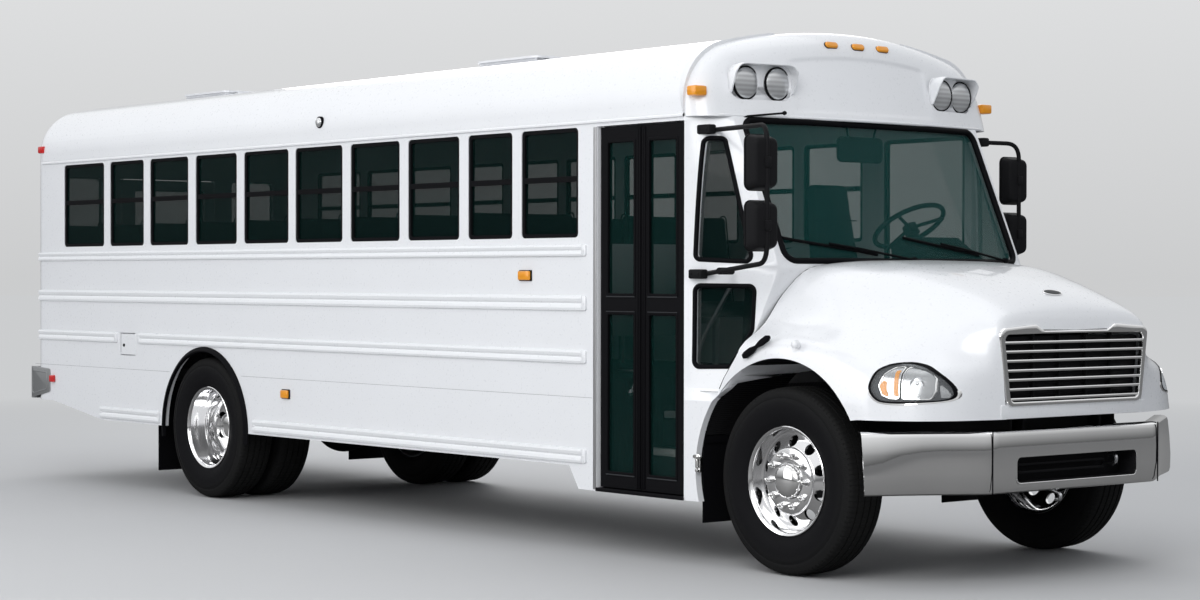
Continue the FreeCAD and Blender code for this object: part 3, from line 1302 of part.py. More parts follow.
def save(node, shape):
    """Write one node's STEP file."""
    solids = shape.Solids
    if not solids or not all(s.isValid() for s in solids):
        print("CHECK", node, len(solids), [s.isValid() for s in solids][:6])
    if len(solids) == 1:
        shape = solids[0]
    shape.exportStep(os.path.join("parts", node + ".step"))
    print(node, len(solids), round(sum(s.Volume for s in solids) / 1e9, 5))


def main():
    os.makedirs("parts", exist_ok=True)
    nodes = {}
    nodes.update(make_body())
    nodes["right_wall"] = fuse([nodes["right_wall"], fuel_pin()])
    nodes["fuel_door"] = make_fuel_door()
    door, glass = make_rear_door()
    nodes["rear_door"], nodes["rear_door_glass"] = door, glass
    rear, rear_glass, front, front_glass = make_entrance_leaves()
    nodes["entrance_leaf_rear"], nodes["entrance_glass_rear"] = rear, rear_glass
    nodes["entrance_leaf_front"], nodes["entrance_glass_front"] = front, front_glass
    nodes["entrance_steps"] = make_steps()
    cowl, windshield, panes = make_cowl()
    nodes["windshield"] = windshield
    cap, warning = make_cap()
    frames_r, panes_r = window_set(-1, WINDOWS, WINDOW_LOW, WINDOW_HIGH, True)
    frames_l, panes_l = window_set(1, WINDOWS, WINDOW_LOW, WINDOW_HIGH, True)
    frames_d, panes_d = window_set(1, (DRIVER_WINDOW,), DRIVER_LOW, WINDOW_HIGH, False)
    nodes["window_frames"] = group(frames_r + frames_l + frames_d)
    x_glass = (BODY_REAR_X + WALL / 2 - GLASS_T / 2, BODY_REAR_X + WALL / 2 + GLASS_T / 2)
    for span in (REAR_WINDOW, (-REAR_WINDOW[1], -REAR_WINDOW[0])):
        panes.append(slab("x", rect(span, (WINDOW_LOW, REAR_DOOR_HIGH)), x_glass, 40))
    nodes["side_glass"] = group(panes_r + panes_l + panes_d + panes)
    for number, place in enumerate(HATCH_AT):
        nodes["roof_hatch_" + ("front", "rear")[number]] = make_hatch(place)
    nodes["floor_deck"] = make_floor([nodes["right_wall"], nodes["left_wall"], nodes["rear_wall"], cowl])
    nodes["chassis_frame"] = make_chassis()
    nodes["engine_block"] = make_engine()
    nodes["radiator"] = make_radiator()
    nodes["drive_line"] = make_drive_line()
    nodes["exhaust_system"] = make_exhaust()
    nodes["fuel_tank"] = make_fuel_tank()
    nodes["front_axle"] = make_front_axle()
    nodes["rear_axle"] = make_rear_axle()
    nodes["leaf_springs"] = group(make_springs())
    knuckle = make_knuckle()
    nodes["knuckle_right"], nodes["knuckle_left"] = knuckle, mirrored(knuckle)
    front_tyre, front_rim = tyre(AXLE_X, -FRONT_TRACK_Y), make_front_rim()
    rear_tyres = group([tyre(REAR_AXLE_X, -REAR_OUTER_Y), tyre(REAR_AXLE_X, -REAR_OUTER_Y + DUAL_SPACING)])
    rear_rims = make_rear_rims()
    for node, shape in (("front_tyre", front_tyre), ("front_rim", front_rim), ("rear_tyres", rear_tyres),
                        ("rear_rims", rear_rims)):
        nodes[node + "_right"], nodes[node + "_left"] = shape, mirrored(shape)
    hood, lugs = make_hood(cowl)
    lamp, prism = make_headlamps(hood_block(0), hood_block(HOOD_T))
    for cutter in both_sides(prism):
        hood = hood.cut(cutter)
    hood_lugs = []
    for y0, y1, hx, hz in lugs:
        eye = slab("y", [(hx + 48, hz - 18), (hx + 48, hz + 26), (hx - 24, hz + 26), (hx - 24, hz - 18)],
                   (y0, y1), [0, 0, 18, 18])
        eye = eye.cut(rod((hx, y0 - 1, hz), (hx, y1 + 1, hz), HINGE_PIN_R + SEAT_GAP))
        hood_lugs.append(eye)
    hood = fuse([hood] + hood_lugs)
    nodes["hood"] = hood
    nodes["headlamps"] = group(both_sides(lamp))
    nodes["grille"] = make_grille()
    liner = make_liners().cut(hood)
    nodes["fender_liners"] = group(both_sides(max(liner.Solids, key=lambda s: s.Volume)))
    shield = make_shields().cut(nodes["floor_deck"]).cut(cowl)
    nodes["splash_shields"] = group(both_sides(max(shield.Solids, key=lambda s: s.Volume)))
    nodes["front_cowl"] = cowl
    nodes["front_bumper"] = make_front_bumper()
    bumper, pads = make_rear_bumper()
    nodes["rear_bumper"] = fuse([bumper] + pads)
    nodes["wheel_flares"] = group(make_flares())
    nodes["mud_flaps"] = group(make_flaps())
    arms, glasses = make_mirrors(cowl, group(panes))
    nodes["mirrors"], nodes["mirror_glass"] = group(arms), group(glasses)
    soft, frames = make_benches()
    nodes["bench_cushions"], nodes["bench_frames"] = group(soft), group(frames)
    nodes["driver_seat"] = make_driver_seat()
    nodes["dashboard"] = make_dashboard()
    nodes["steering_wheel"] = make_steering_wheel()
    nodes["grab_rails"] = group(make_rails_inside())
    amber, red = side_lamps()
    red_rear, amber_rear, clear_rear = rear_lamps()
    amber_cap = cap_lamps()
    for piece in amber_cap:
        cap = cap.cut(piece)
    nodes["front_cap"] = cap
    front_lamps, roof_lamps, tail_lamps = shoulder_lamps(group([cap, nodes["roof_shell"]]))
    nodes["amber_lamps"] = group(amber + amber_rear + amber_cap + front_lamps)
    nodes["red_lamps"] = group(red + red_rear + tail_lamps)
    nodes["warning_lamps"] = group(warning + clear_rear + roof_lamps)
    for node, shape in nodes.items():
        save(node, shape)


main()
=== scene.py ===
"""Looks of a conventional school bus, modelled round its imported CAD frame."""

import json
import logging
import math
from dataclasses import dataclass
from enum import Enum
from typing import Callable, ClassVar, Sequence

import bpy
from mathutils import Matrix, Vector
from mathutils.bvhtree import BVHTree

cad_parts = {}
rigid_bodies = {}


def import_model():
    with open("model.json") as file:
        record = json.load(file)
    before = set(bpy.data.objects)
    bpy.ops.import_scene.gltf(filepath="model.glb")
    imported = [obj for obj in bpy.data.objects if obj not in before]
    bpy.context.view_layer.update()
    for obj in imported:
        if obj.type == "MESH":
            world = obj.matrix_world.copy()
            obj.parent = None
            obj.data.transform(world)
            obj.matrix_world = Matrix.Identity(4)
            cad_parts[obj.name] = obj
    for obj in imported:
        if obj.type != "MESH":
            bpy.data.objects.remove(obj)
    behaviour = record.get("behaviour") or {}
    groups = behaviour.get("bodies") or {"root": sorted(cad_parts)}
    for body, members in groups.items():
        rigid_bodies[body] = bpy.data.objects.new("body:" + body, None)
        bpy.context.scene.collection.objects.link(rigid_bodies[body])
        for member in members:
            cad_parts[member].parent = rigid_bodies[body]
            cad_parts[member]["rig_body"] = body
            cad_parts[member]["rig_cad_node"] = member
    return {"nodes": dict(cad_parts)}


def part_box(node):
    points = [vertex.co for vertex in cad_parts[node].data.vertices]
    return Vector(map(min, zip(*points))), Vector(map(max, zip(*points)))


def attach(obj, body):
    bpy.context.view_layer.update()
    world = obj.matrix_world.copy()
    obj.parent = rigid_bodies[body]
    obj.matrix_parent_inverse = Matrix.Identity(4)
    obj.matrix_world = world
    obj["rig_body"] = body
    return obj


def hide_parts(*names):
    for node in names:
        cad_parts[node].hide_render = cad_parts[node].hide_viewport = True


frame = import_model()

LOG = logging.getLogger("school_bus")
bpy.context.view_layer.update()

AXLE_X = 3.867  # front axle
REAR_AXLE_X = -2.178
HALF_W = 1.219  # outer face of the side walls
REAR_FACE = -4.913  # rear wall
TYRE_R = 0.515
ROOF_Z = 3.065  # crown of the roof
CAP_FRONT = -0.455  # lower edge of the front cap's face, ahead of the front axle
CAP_PLAN_R = 4.6  # bow of that face, seen from above
TOP_LAMP_Y = (-0.213, 0.0, 0.213)
WARNING_Z = 2.726  # warning lamps of the front cap
CHEEK_Y = 1.195  # outer face of the quarter panels under the front cap
SIDES = ((-1, "right"), (1, "left"))

Piece = bpy.types.Object
Point = Sequence[float]
Points = Sequence[Point]
Span = tuple[float, float]
Outline = list[Span]
Rows = tuple[tuple[float, ...], ...]
Value = "float | Sock"


def at(ahead: float) -> float:
    """X of a place given ahead of the front axle, in metres."""
    return AXLE_X + ahead


def ahead(start: float, stop: float) -> Span:
    """X of both ends of a stretch given ahead of the front axle."""
    return at(start), at(stop)


def about(middle: float, half: float) -> Span:
    """Both ends of a stretch, from its middle and half its length."""
    return middle - half, middle + half


# ---- shader maths
class Sock:
    """A shader value that adds Math nodes when it takes part in an expression."""

    def __init__(self, tree: "Tree", socket: bpy.types.NodeSocket) -> None:
        """Wrap one output socket of a tree."""
        self.tree = tree
        self.socket = socket

    def math(self, operation: str, other: Value = 0.0) -> "Sock":
        """Result of one Math node on this value and another."""
        return self.tree.node("ShaderNodeMath", {"operation": operation}, {0: self, 1: other})

    def __add__(self, other: Value) -> "Sock":
        """Sum with a value."""
        return self.math("ADD", other)

    def __sub__(self, other: Value) -> "Sock":
        """Difference from a value."""
        return self.math("SUBTRACT", other)

    def __rsub__(self, other: Value) -> "Sock":
        """A value less this one."""
        return self * -1.0 + other

    def __mul__(self, other: Value) -> "Sock":
        """Product with a value."""
        return self.math("MULTIPLY", other)

    __radd__ = __add__
    __rmul__ = __mul__

    def ramp(self, low: float, high: float, start: float = 0.0, end: float = 1.0) -> "Sock":
        """Clamped straight map of low..high to start..end."""
        return self.tree.node("ShaderNodeMapRange", {}, {0: self, 1: low, 2: high, 3: start, 4: end})


class Tree:
    """Shader nodes of a material or a world."""

    def __init__(self, owner: bpy.types.ID, output: str) -> None:
        """Empty the owner's nodes and add its output.

        Args:
            owner: the material or the world.
            output: the output node's type.
        """
        owner.use_nodes = True
        self.tree = owner.node_tree
        self.tree.nodes.clear()
        self.output = self.tree.nodes.new(output)

    def feed(self, socket: bpy.types.NodeSocket, value: object) -> None:
        """Link a Sock to an input, or set the input's own value."""
        if isinstance(value, Sock):
            self.tree.links.new(value.socket, socket)
        elif socket.type == "RGBA" and len(value) == 3:
            socket.default_value = (*value, 1.0)
        else:
            socket.default_value = value

    def node(self, kind: str, settings: dict, inputs: dict, out: object = 0) -> Sock:
        """Add a node.

        Args:
            kind: the node's type.
            settings: its own properties.
            inputs: values or links by socket name or number.
            out: the output that is returned, by name or number.
        Returns:
            The output socket, wrapped.
        """
        made = self.tree.nodes.new(kind)
        for key, value in settings.items():
            setattr(made, key, value)
        for key, value in inputs.items():
            self.feed(made.inputs[key], value)
        return Sock(self, made.outputs[out])

    def axes(self, spot: Sock) -> list[Sock]:
        """The three coordinates of a place."""
        parts = self.node("ShaderNodeSeparateXYZ", {}, {0: spot}).socket.node
        return [Sock(self, out) for out in parts.outputs]

    def end(self, shader: Sock) -> None:
        """Lead a shader to the output."""
        self.feed(self.output.inputs[0], shader)


class Graph(Tree):
    """Nodes of one material round a Principled shader."""

    def __init__(self, name: str) -> None:
        """Start an empty material of that name."""
        self.material = bpy.data.materials.new(name)
        super().__init__(self.material, "ShaderNodeOutputMaterial")
        self.shader = self.tree.nodes.new("ShaderNodeBsdfPrincipled")
        self.end(self.surface())

    def surface(self) -> Sock:
        """The Principled shader's output."""
        return Sock(self, self.shader.outputs[0])

    def place(self, scale: Point = (1, 1, 1), centre: Point = (0, 0, 0)) -> Sock:
        """Object coordinates, moved and scaled."""
        spot = self.node("ShaderNodeTexCoord", {}, {}, "Object")
        return self.node("ShaderNodeMapping", {}, {"Vector": spot, "Location": centre, "Scale": scale})

    def noise(self, scale: float, detail: float = 2.0, stretch: Point = (1, 1, 1)) -> Sock:
        """Noise over object coordinates."""
        inputs = {"Vector": self.place(stretch), "Scale": scale, "Detail": detail}
        return self.node("ShaderNodeTexNoise", {}, inputs, "Fac")

    def wave(self, way: str, scale: float, stretch: Point = (1, 1, 1)) -> Sock:
        """Even bands along one direction of object coordinates."""
        settings = {"wave_type": "BANDS", "bands_direction": way}
        inputs = {"Vector": self.place(stretch), "Scale": scale, "Distortion": 0.0}
        return self.node("ShaderNodeTexWave", settings, inputs, "Fac")

    def mix(self, share: Value, first: object, second: object) -> Sock:
        """Colour mix of two colours by a share."""
        return self.node("ShaderNodeMix", {"data_type": "RGBA"}, {0: share, 6: first, 7: second}, 2)

    def bump(self, height: Sock, depth: float) -> None:
        """Feed a height in as the surface's normal."""
        inputs = {"Height": height, "Distance": depth, "Strength": 1.0}
        self.set(Normal=self.node("ShaderNodeBump", {}, inputs, "Normal"))

    def set(self, **values: object) -> None:
        """Set the shader's sockets; an underscore stands for a space."""
        for key, value in values.items():
            self.feed(self.shader.inputs[key.replace("_", " ")], value)


# ---- finishes
@dataclass(frozen=True)
class Finish:
    """One finish: a name, the record's slot, a colour and how it shines."""

    name: str
    slot: str
    colour: tuple[float, float, float]
    rough: float
    metal: float = 0.0
    coat: float = 0.0
    grain: float = 0.0
    grain_scale: float = 60.0
    stretch: tuple[float, float, float] = (1, 1, 1)
    tone: float = 0.0

    def dress(self, g: Graph) -> None:
        """Lay this finish's pattern on a graph."""
        patch = g.noise(2.1, 3.0)
        fine = g.noise(self.grain_scale, 3.0, self.stretch)
        dark = tuple(c * (1 - self.tone) for c in self.colour)
        g.set(Base_Color=g.mix(patch.ramp(0.3, 0.7), dark, self.colour) if self.tone else self.colour)
        rough = fine.ramp(0.25, 0.75, self.rough * 0.85, self.rough * 1.15)
        g.set(Roughness=rough, Metallic=self.metal, Coat_Weight=self.coat, Coat_Roughness=0.04)
        if max(self.colour) < 0.1 and not self.metal:
            g.set(Specular_IOR_Level=0.03)
        if self.grain:
            g.bump(fine, self.grain)

    def material(self) -> bpy.types.Material:
        """The finish's material, made once."""
        title = self.name + "_finish"
        if title not in bpy.data.materials:
            self.dress(Graph(title))
        return bpy.data.materials[title]


@dataclass(frozen=True)
class Glass(Finish):
    """Tinted sheet: dark, clear, and brighter at a glancing angle."""

    clear: float = 0.5

    def dress(self, g: Graph) -> None:
        """Let part of the light straight through."""
        edge = g.node("ShaderNodeLayerWeight", {}, {"Blend": 0.4}, "Facing")
        g.set(Base_Color=self.colour, Roughness=self.rough, Specular_IOR_Level=0.06)
        g.set(Alpha=edge.ramp(0.3, 1.0, 1 - self.clear, 1.0))


@dataclass(frozen=True)
class Ribbed(Finish):
    """Sheet with raised ribs along one way, given by the scale along each axis."""

    ribs: tuple[float, float, float] = (0, 40, 0)
    depth: float = 0.002

    def dress(self, g: Graph) -> None:
        """Ribs as a wave."""
        super().dress(g)
        g.bump(g.wave("DIAGONAL", 1.0, self.ribs), self.depth)


@dataclass(frozen=True)
class Lens(Finish):
    """Moulded lens with fine flutes; its grain is how strongly it glows."""

    flutes: float = 260.0
    dark: float = 0.6

    def dress(self, g: Graph) -> None:
        """Colour deepens between the flutes; on the clear lens and the reflector these bands are painted
        reflections of flutes and facets.
        """
        deep = tuple(c * self.dark for c in self.colour)
        g.set(Base_Color=g.mix(g.wave("Z", self.flutes / 6.28), deep, self.colour), Roughness=self.rough)
        g.set(Metallic=self.metal, Coat_Weight=0.4, Coat_Roughness=0.03)
        g.set(Emission_Color=self.colour, Emission_Strength=self.grain)


WHITE = Finish("white_enamel", "body_paint", (0.8, 0.81, 0.83), 0.3, coat=0.6, tone=0.015)
BLACK = Finish("black_enamel", "black_paint", (0.006, 0.006, 0.007), 0.4, grain=0.0002)
FRAME_BLACK = Finish("frame_black", "black_paint", (0.012, 0.012, 0.013), 0.55, grain=0.0006, tone=0.3)
CAST = Finish("cast_iron", "cast_metal", (0.06, 0.06, 0.065), 0.6, 0.6, grain=0.001, grain_scale=90,
              tone=0.3)
STEEL = Finish("bare_steel", "bare_steel", (0.5, 0.51, 0.53), 0.32, 1.0, grain=0.0003, grain_scale=40,
               stretch=(1, 30, 30), tone=0.12)
CHROME = Finish("bright_chrome", "bright_chrome", (0.84, 0.84, 0.84), 0.045, 1.0, tone=0.06)
BUMPER_STEEL = Finish("bumper_steel", "bare_steel", (0.42, 0.43, 0.44), 0.42, 0.85, grain=0.0003,
                      grain_scale=70, tone=0.15)
LINER = Ribbed("liner_plastic", "black_plastic", (0.012, 0.012, 0.013), 0.5, ribs=(0, 0, 55))
ALLOY = Finish("polished_alloy", "polished_alloy", (0.83, 0.83, 0.84), 0.1, 1.0, tone=0.05)
RUBBER = Finish("black_rubber", "black_rubber", (0.005, 0.005, 0.006), 0.5, grain=0.0001, grain_scale=120)
PLASTIC = Finish("black_plastic", "black_plastic", (0.012, 0.012, 0.013), 0.46, grain=0.0001,
                 grain_scale=300)
GREY_PLASTIC = Finish("grey_housing", "black_plastic", (0.04, 0.042, 0.045), 0.35, grain=0.0002,
                      grain_scale=200)
MIRROR = Finish("mirror_face", "mirror_face", (0.75, 0.77, 0.79), 0.02, 1.0)
VINYL = Finish("seat_vinyl", "seat_vinyl", (0.03, 0.033, 0.038), 0.5, grain=0.0008, grain_scale=220,
               tone=0.15)
STEP = Ribbed("step_rubber", "step_rubber", (0.035, 0.035, 0.038), 0.6, ribs=(0, 26, 0))
# painted shade: grey strips on the white wall stand in for the shade in the panel joints
SEAM_SHADE = Finish("panel_seam_shade", "body_paint", (0.3, 0.31, 0.32), 0.6)
DULL_STEEL = Finish("dull_steel", "bare_steel", (0.34, 0.34, 0.35), 0.45, 0.7, grain=0.0002, grain_scale=50)
# painted reflection: the reflector's light and dark bands stand in for the reflections of its facets
REFLECTOR = Lens("lamp_reflector", "clear_lens", (0.44, 0.45, 0.46), 0.2, metal=0.9, flutes=330)
NOSING = Finish("step_nosing", "step_rubber", (0.52, 0.55, 0.53), 0.5, grain=0.0004)
GLASS = Glass("tinted_glass", "clear_glass", (0.003, 0.012, 0.011), 0.02, clear=0.52)
SHIELD_GLASS = Glass("windshield_glass", "clear_glass", (0.012, 0.075, 0.069), 0.1, clear=0.72)
DOOR_GLASS = Glass("door_glass", "clear_glass", (0.006, 0.028, 0.025), 0.02, clear=0.66)
COVER = Glass("lamp_cover", "clear_lens", (0.75, 0.78, 0.8), 0.02, clear=0.94)
AMBER = Lens("amber_lens", "amber_lens", (0.88, 0.33, 0.004), 0.3, grain=0.1)
RED = Lens("red_lens", "red_lens", (0.62, 0.012, 0.012), 0.2, grain=0.08)
# painted reflection: the clear lens's light and dark bands stand in for light bent by its flutes
CLEAR = Lens("clear_lens", "clear_lens", (0.66, 0.67, 0.68), 0.24, metal=0.6, flutes=75, dark=0.74)


# ---- bench tools
class Axis(Enum):
    """An axis of the row frame, as its number."""

    X = 0
    Y = 1
    Z = 2


X, Y, Z = Axis


def only(*objs: Piece) -> None:
    """Select these objects alone, the first of them active."""
    for other in bpy.context.selected_objects:
        other.select_set(False)
    for obj in objs:
        obj.select_set(True)
    bpy.context.view_layer.objects.active = objs[0]


def taken(name: str) -> Piece:
    """Name the primitive that was just added, with its place put in its mesh."""
    obj = bpy.context.active_object
    obj.name = obj.data.name = name
    only(obj)
    bpy.ops.object.transform_apply(location=True, rotation=True, scale=True)
    return obj


def shaped(obj: Piece, work: Callable[[], object], pick: Callable[[Vector], bool] = None,
           mode: str = "FACE") -> None:
    """Work on a mesh in edit mode.

    Args:
        obj: the mesh object.
        work: calls the operators.
        pick: takes a face's middle and says whether the face is selected; all of it is, if None.
        mode: VERT, EDGE or FACE.
    """
    only(obj)
    bpy.ops.object.mode_set(mode="EDIT")
    bpy.ops.mesh.select_mode(type=mode)
    bpy.ops.mesh.select_all(action="SELECT" if pick is None else "DESELECT")
    if pick is not None:
        bpy.ops.object.mode_set(mode="OBJECT")
        for face in obj.data.polygons:
            face.select = bool(pick(face.center))
        bpy.ops.object.mode_set(mode="EDIT")
    work()
    bpy.ops.object.mode_set(mode="OBJECT")


def outward(obj: Piece, merge: float = 1e-5) -> Piece:
    """Merge doubles and turn every face outwards."""
    def work() -> None:
        bpy.ops.mesh.remove_doubles(threshold=merge)
        bpy.ops.mesh.normals_make_consistent(inside=False)
    shaped(obj, work)
    return obj


def modified(obj: Piece, kind: str, **settings: object) -> Piece:
    """Add one modifier and apply it."""
    only(obj)
    modifier = obj.modifiers.new(kind.lower(), kind)
    for key, value in settings.items():
        setattr(modifier, key, value)
    bpy.ops.object.modifier_apply(modifier=modifier.name)
    return obj


def cut(obj: Piece, tool: Piece, operation: str = "DIFFERENCE") -> Piece:
    """Cut a piece with a tool that is then removed."""
    modified(obj, "BOOLEAN", object=tool, operation=operation, solver="EXACT")
    bpy.data.objects.remove(tool)
    return obj


def bevelled(obj: Piece, width: float, segments: int = 2, angle: float = 30) -> Piece:
    """Round the sharp edges."""
    return modified(obj, "BEVEL", width=width, segments=segments, limit_method="ANGLE",
                    angle_limit=math.radians(angle))


def block(name: str, x: Point, y: Point, z: Point, edge: float = 0.0) -> Piece:
    """Box between the ends given for each axis, its edges rounded."""
    spans = (x, y, z)
    bpy.ops.mesh.primitive_cube_add(size=1, location=[(a + b) / 2 for a, b in spans],
                                    scale=[abs(b - a) for a, b in spans])
    obj = taken(name)
    return bevelled(obj, edge) if edge else obj


def rounded(points: Points, radius: float, steps: int = 4) -> Outline:
    """Outline with an arc of that radius at each corner."""
    out = []
    count = len(points)
    for i, point in enumerate(points):
        here = Vector(point)
        back, on = Vector(points[i - 1]) - here, Vector(points[(i + 1) % count]) - here
        back.normalize()
        on.normalize()
        half = back.angle(on) / 2
        reach = radius / math.tan(half)
        centre = here + (back + on).normalized() * (radius / math.sin(half))
        first, last = here + back * reach - centre, here + on * reach - centre
        turn = first.angle_signed(last)
        for step in range(steps + 1):
            a = -turn * step / steps
            out.append(tuple(centre + Matrix.Rotation(a, 2) @ first))
    return out


def oblong(a: Point, b: Point, radius: float, steps: int = 4) -> Outline:
    """Rounded rectangle from its two spans."""
    return rounded([(a[0], b[0]), (a[1], b[0]), (a[1], b[1]), (a[0], b[1])], radius, steps)


def grown(outline: Points, by: float, core: Points = ()) -> Outline:
    """An outline moved outwards by a distance, away from its own middle or that of some core points."""
    core = core or outline
    middle = sum((Vector(p) for p in core), Vector((0, 0))) / len(core)
    return [tuple(Vector(p) + (Vector(p) - middle).normalized() * by) for p in outline]


def spot(axis: Axis, depth: float, pair: Point) -> Vector:
    """Point at a depth along an axis, with the other two coordinates in order."""
    rest = list(pair)
    rest.insert(axis.value, depth)
    return Vector(rest)


def extruded(obj: Piece, axis: Axis, span: Point, edge: float, segments: int) -> Piece:
    """Flat sheet made as thick as a span along an axis, its edges rounded."""
    move = spot(axis, span[1] - span[0], (0, 0))
    shaped(obj, lambda: bpy.ops.mesh.extrude_region_move(TRANSFORM_OT_translate={"value": move}))
    outward(obj)
    return bevelled(obj, edge, segments) if edge else obj


def plate(name: str, axis: Axis, outline: Points, span: Point, edge: float = 0.0,
          segments: int = 2) -> Piece:
    """Flat piece of an outline across an axis, over a span and rounded at its edges."""
    bpy.ops.mesh.primitive_circle_add(vertices=len(outline), fill_type="NGON")
    obj = taken(name)
    for vertex, pair in zip(obj.data.vertices, outline):
        vertex.co = spot(axis, span[0], pair)
    return extruded(obj, axis, span, edge, segments)


def grid(name: str, rows: Sequence[Points]) -> Piece:
    """Sheet through rows of points, each row with the same count."""
    count = len(rows[0])
    bpy.ops.mesh.primitive_grid_add(x_subdivisions=count - 1, y_subdivisions=len(rows) - 1, size=1)
    obj = taken(name)
    for index, vertex in enumerate(obj.data.vertices):
        vertex.co = rows[index // count][index % count]
    return outward(obj)


def facing(sheet: Piece, place: Point, way: Point) -> Piece:
    """Turn a sheet over unless its face nearest a place looks a given way."""
    face = min(sheet.data.polygons, key=lambda f: (f.center - Vector(place)).length)
    if face.normal.dot(Vector(way)) < 0:
        sheet.data.flip_normals()
    return sheet


def frame_ring(name: str, axis: Axis, outer: Points, inner: Points, span: Point,
               edge: float = 0.0) -> Piece:
    """Flat ring between two outlines of equal count, over a span, with rounded edges."""
    rows = [[spot(axis, span[0], pair) for pair in (*line, line[0])] for line in (outer, inner)]
    return extruded(grid(name, rows), axis, span, edge, 2)


def rim_round(name: str, axis: Axis, a: Point, b: Point, grow: Point, radii: Point, span: Point,
              edge: float = 0.0, steps: int = 4) -> Piece:
    """Flat ring round a rectangle.

    Args:
        name: the piece's name.
        axis: the axis that the ring lies across.
        a: the rectangle's first span.
        b: its second span.
        grow: how far the ring's outer and inner outlines lie outside the rectangle.
        radii: their corner radii.
        span: where the ring starts and ends along the axis.
        edge: rounding of its edges.
        steps: parts of each corner's arc.
    Returns:
        The ring.
    """
    outer, inner = (oblong((a[0] - g, a[1] + g), (b[0] - g, b[1] + g), radius, steps)
                    for g, radius in zip(grow, radii))
    return frame_ring(name, axis, outer, inner, span, edge)


def spun(name: str, profile: Points, centre: Point, axis: Axis = Y, steps: int = 48) -> Piece:
    """Turned piece: a profile of (along, radius) pairs spun about an axis through a centre."""
    bpy.ops.mesh.primitive_circle_add(vertices=len(profile), fill_type="NOTHING")
    obj = taken(name)
    middle = Vector(centre)
    along = spot(axis, 1.0, (0, 0))
    side = Vector((0, 0, 1)) if axis is not Z else Vector((1, 0, 0))
    for vertex, (run, radius) in zip(obj.data.vertices, profile):
        vertex.co = middle + along * run + side * radius
    shaped(obj, lambda: bpy.ops.mesh.spin(steps=steps, angle=math.tau, center=middle, axis=along),
           mode="EDGE")
    outward(obj)
    shaped(obj, lambda: bpy.ops.mesh.dissolve_degenerate(threshold=1e-6))
    return obj


def bar(name: str, start: Point, end: Point, radius: float, sides: int = 16) -> Piece:
    """Round bar between two points, its rims rounded."""
    start, end = Vector(start), Vector(end)
    run = end - start
    turn = run.to_track_quat("Z", "Y").to_euler()
    bpy.ops.mesh.primitive_cylinder_add(vertices=sides, radius=radius, depth=run.length,
                                        location=(start + end) / 2, rotation=turn)
    return bevelled(taken(name), min(radius * 0.3, run.length * 0.2), 2, 60)


def hose(name: str, path: Points, radius: float, sides: int = 6, ring: bool = False) -> Piece:
    """Round rod along a path, closed if it is a ring."""
    bpy.ops.curve.primitive_bezier_curve_add()
    obj = taken(name)
    curve = obj.data
    curve.dimensions = "3D"
    spline = curve.splines[0]
    spline.bezier_points.add(len(path) - 2)
    spline.use_cyclic_u = ring
    for point, place in zip(spline.bezier_points, path):
        point.co = Vector(place)
        point.handle_left_type = point.handle_right_type = "VECTOR"
    curve.bevel_depth, curve.bevel_resolution, curve.use_fill_caps = radius, sides // 2 - 1, not ring
    curve.resolution_u = 1
    only(obj)
    bpy.ops.object.convert(target="MESH")
    return outward(bpy.context.active_object)


def bent(path: Points, radius: float, steps: int = 5) -> list[Vector]:
    """Path with its inner corners rounded."""
    points = [Vector(p) for p in path]
    out = [points[0]]
    for before, here, after in zip(points, points[1:], points[2:]):
        back, on = (before - here), (after - here)
        reach = min(radius, back.length * 0.45, on.length * 0.45)
        first, last = here + back.normalized() * reach, here + on.normalized() * reach
        for step in range(steps + 1):
            t = step / steps
            out.append(first * (1 - t) ** 2 + here * 2 * t * (1 - t) + last * t ** 2)
    return out + [points[-1]]


def clone(obj: Piece, name: str, change: Matrix) -> Piece:
    """Copy with its own mesh, moved by a matrix; a mirror turns its faces right again."""
    twin = obj.copy()
    twin.data = obj.data.copy()
    twin.name = twin.data.name = name
    bpy.context.scene.collection.objects.link(twin)
    twin.data.transform(change)
    if change.determinant() < 0:
        twin.data.flip_normals()
    return twin


MIRROR_Y = Matrix.Diagonal((1, -1, 1, 1))


def turned_by(degrees: float, centre: Point, axis: Axis) -> Matrix:
    """Matrix that turns about an axis through a centre."""
    move = Matrix.Translation(Vector(centre))
    return move @ Matrix.Rotation(math.radians(degrees), 4, spot(axis, 1.0, (0, 0))) @ move.inverted()


def joined(name: str, objs: Sequence[Piece]) -> Piece:
    """Several meshes as one."""
    only(*objs)
    if len(objs) > 1:
        bpy.ops.object.join()
    obj = bpy.context.active_object
    obj.name = obj.data.name = name
    return obj


def settle(obj: Piece, finish: Finish, body: str = "root", angle: float = 35,
           replaces: Sequence[str] = ()) -> Piece:
    """Give a finished piece its finish, shading and body."""
    only(obj)
    bpy.ops.object.shade_smooth_by_angle(angle=math.radians(angle))
    obj.data.materials.clear()
    obj.data.materials.append(finish.material())
    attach(obj, body)
    if replaces:
        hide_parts(*replaces)
    return obj


def merged(name: str, pieces: Sequence[Piece], finish: Finish, body: str = "root", angle: float = 35,
           replaces: Sequence[str] = ()) -> Piece:
    """Join pieces and settle the whole."""
    return settle(joined(name, pieces), finish, body, angle, replaces)


def smoothed(node: str, finish: Finish, angle: float = 30) -> Piece:
    """A CAD node's own shape, merged and smoothly shaded, in its place."""
    source = frame["nodes"][node]
    twin = source.copy()
    twin.data = source.data.copy()
    twin.name = twin.data.name = node + "_shown"
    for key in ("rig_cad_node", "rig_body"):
        if key in twin:
            del twin[key]
    twin.parent = None
    twin.matrix_world = Matrix.Identity(4)
    bpy.context.scene.collection.objects.link(twin)

    def work() -> None:
        bpy.ops.mesh.remove_doubles(threshold=2e-5)
        bpy.ops.mesh.dissolve_limited(angle_limit=math.radians(0.2))
    shaped(twin, work)
    settle(twin, finish, source["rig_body"], angle, (node,))
    return modified(twin, "WEIGHTED_NORMAL", keep_sharp=True, weight=80)


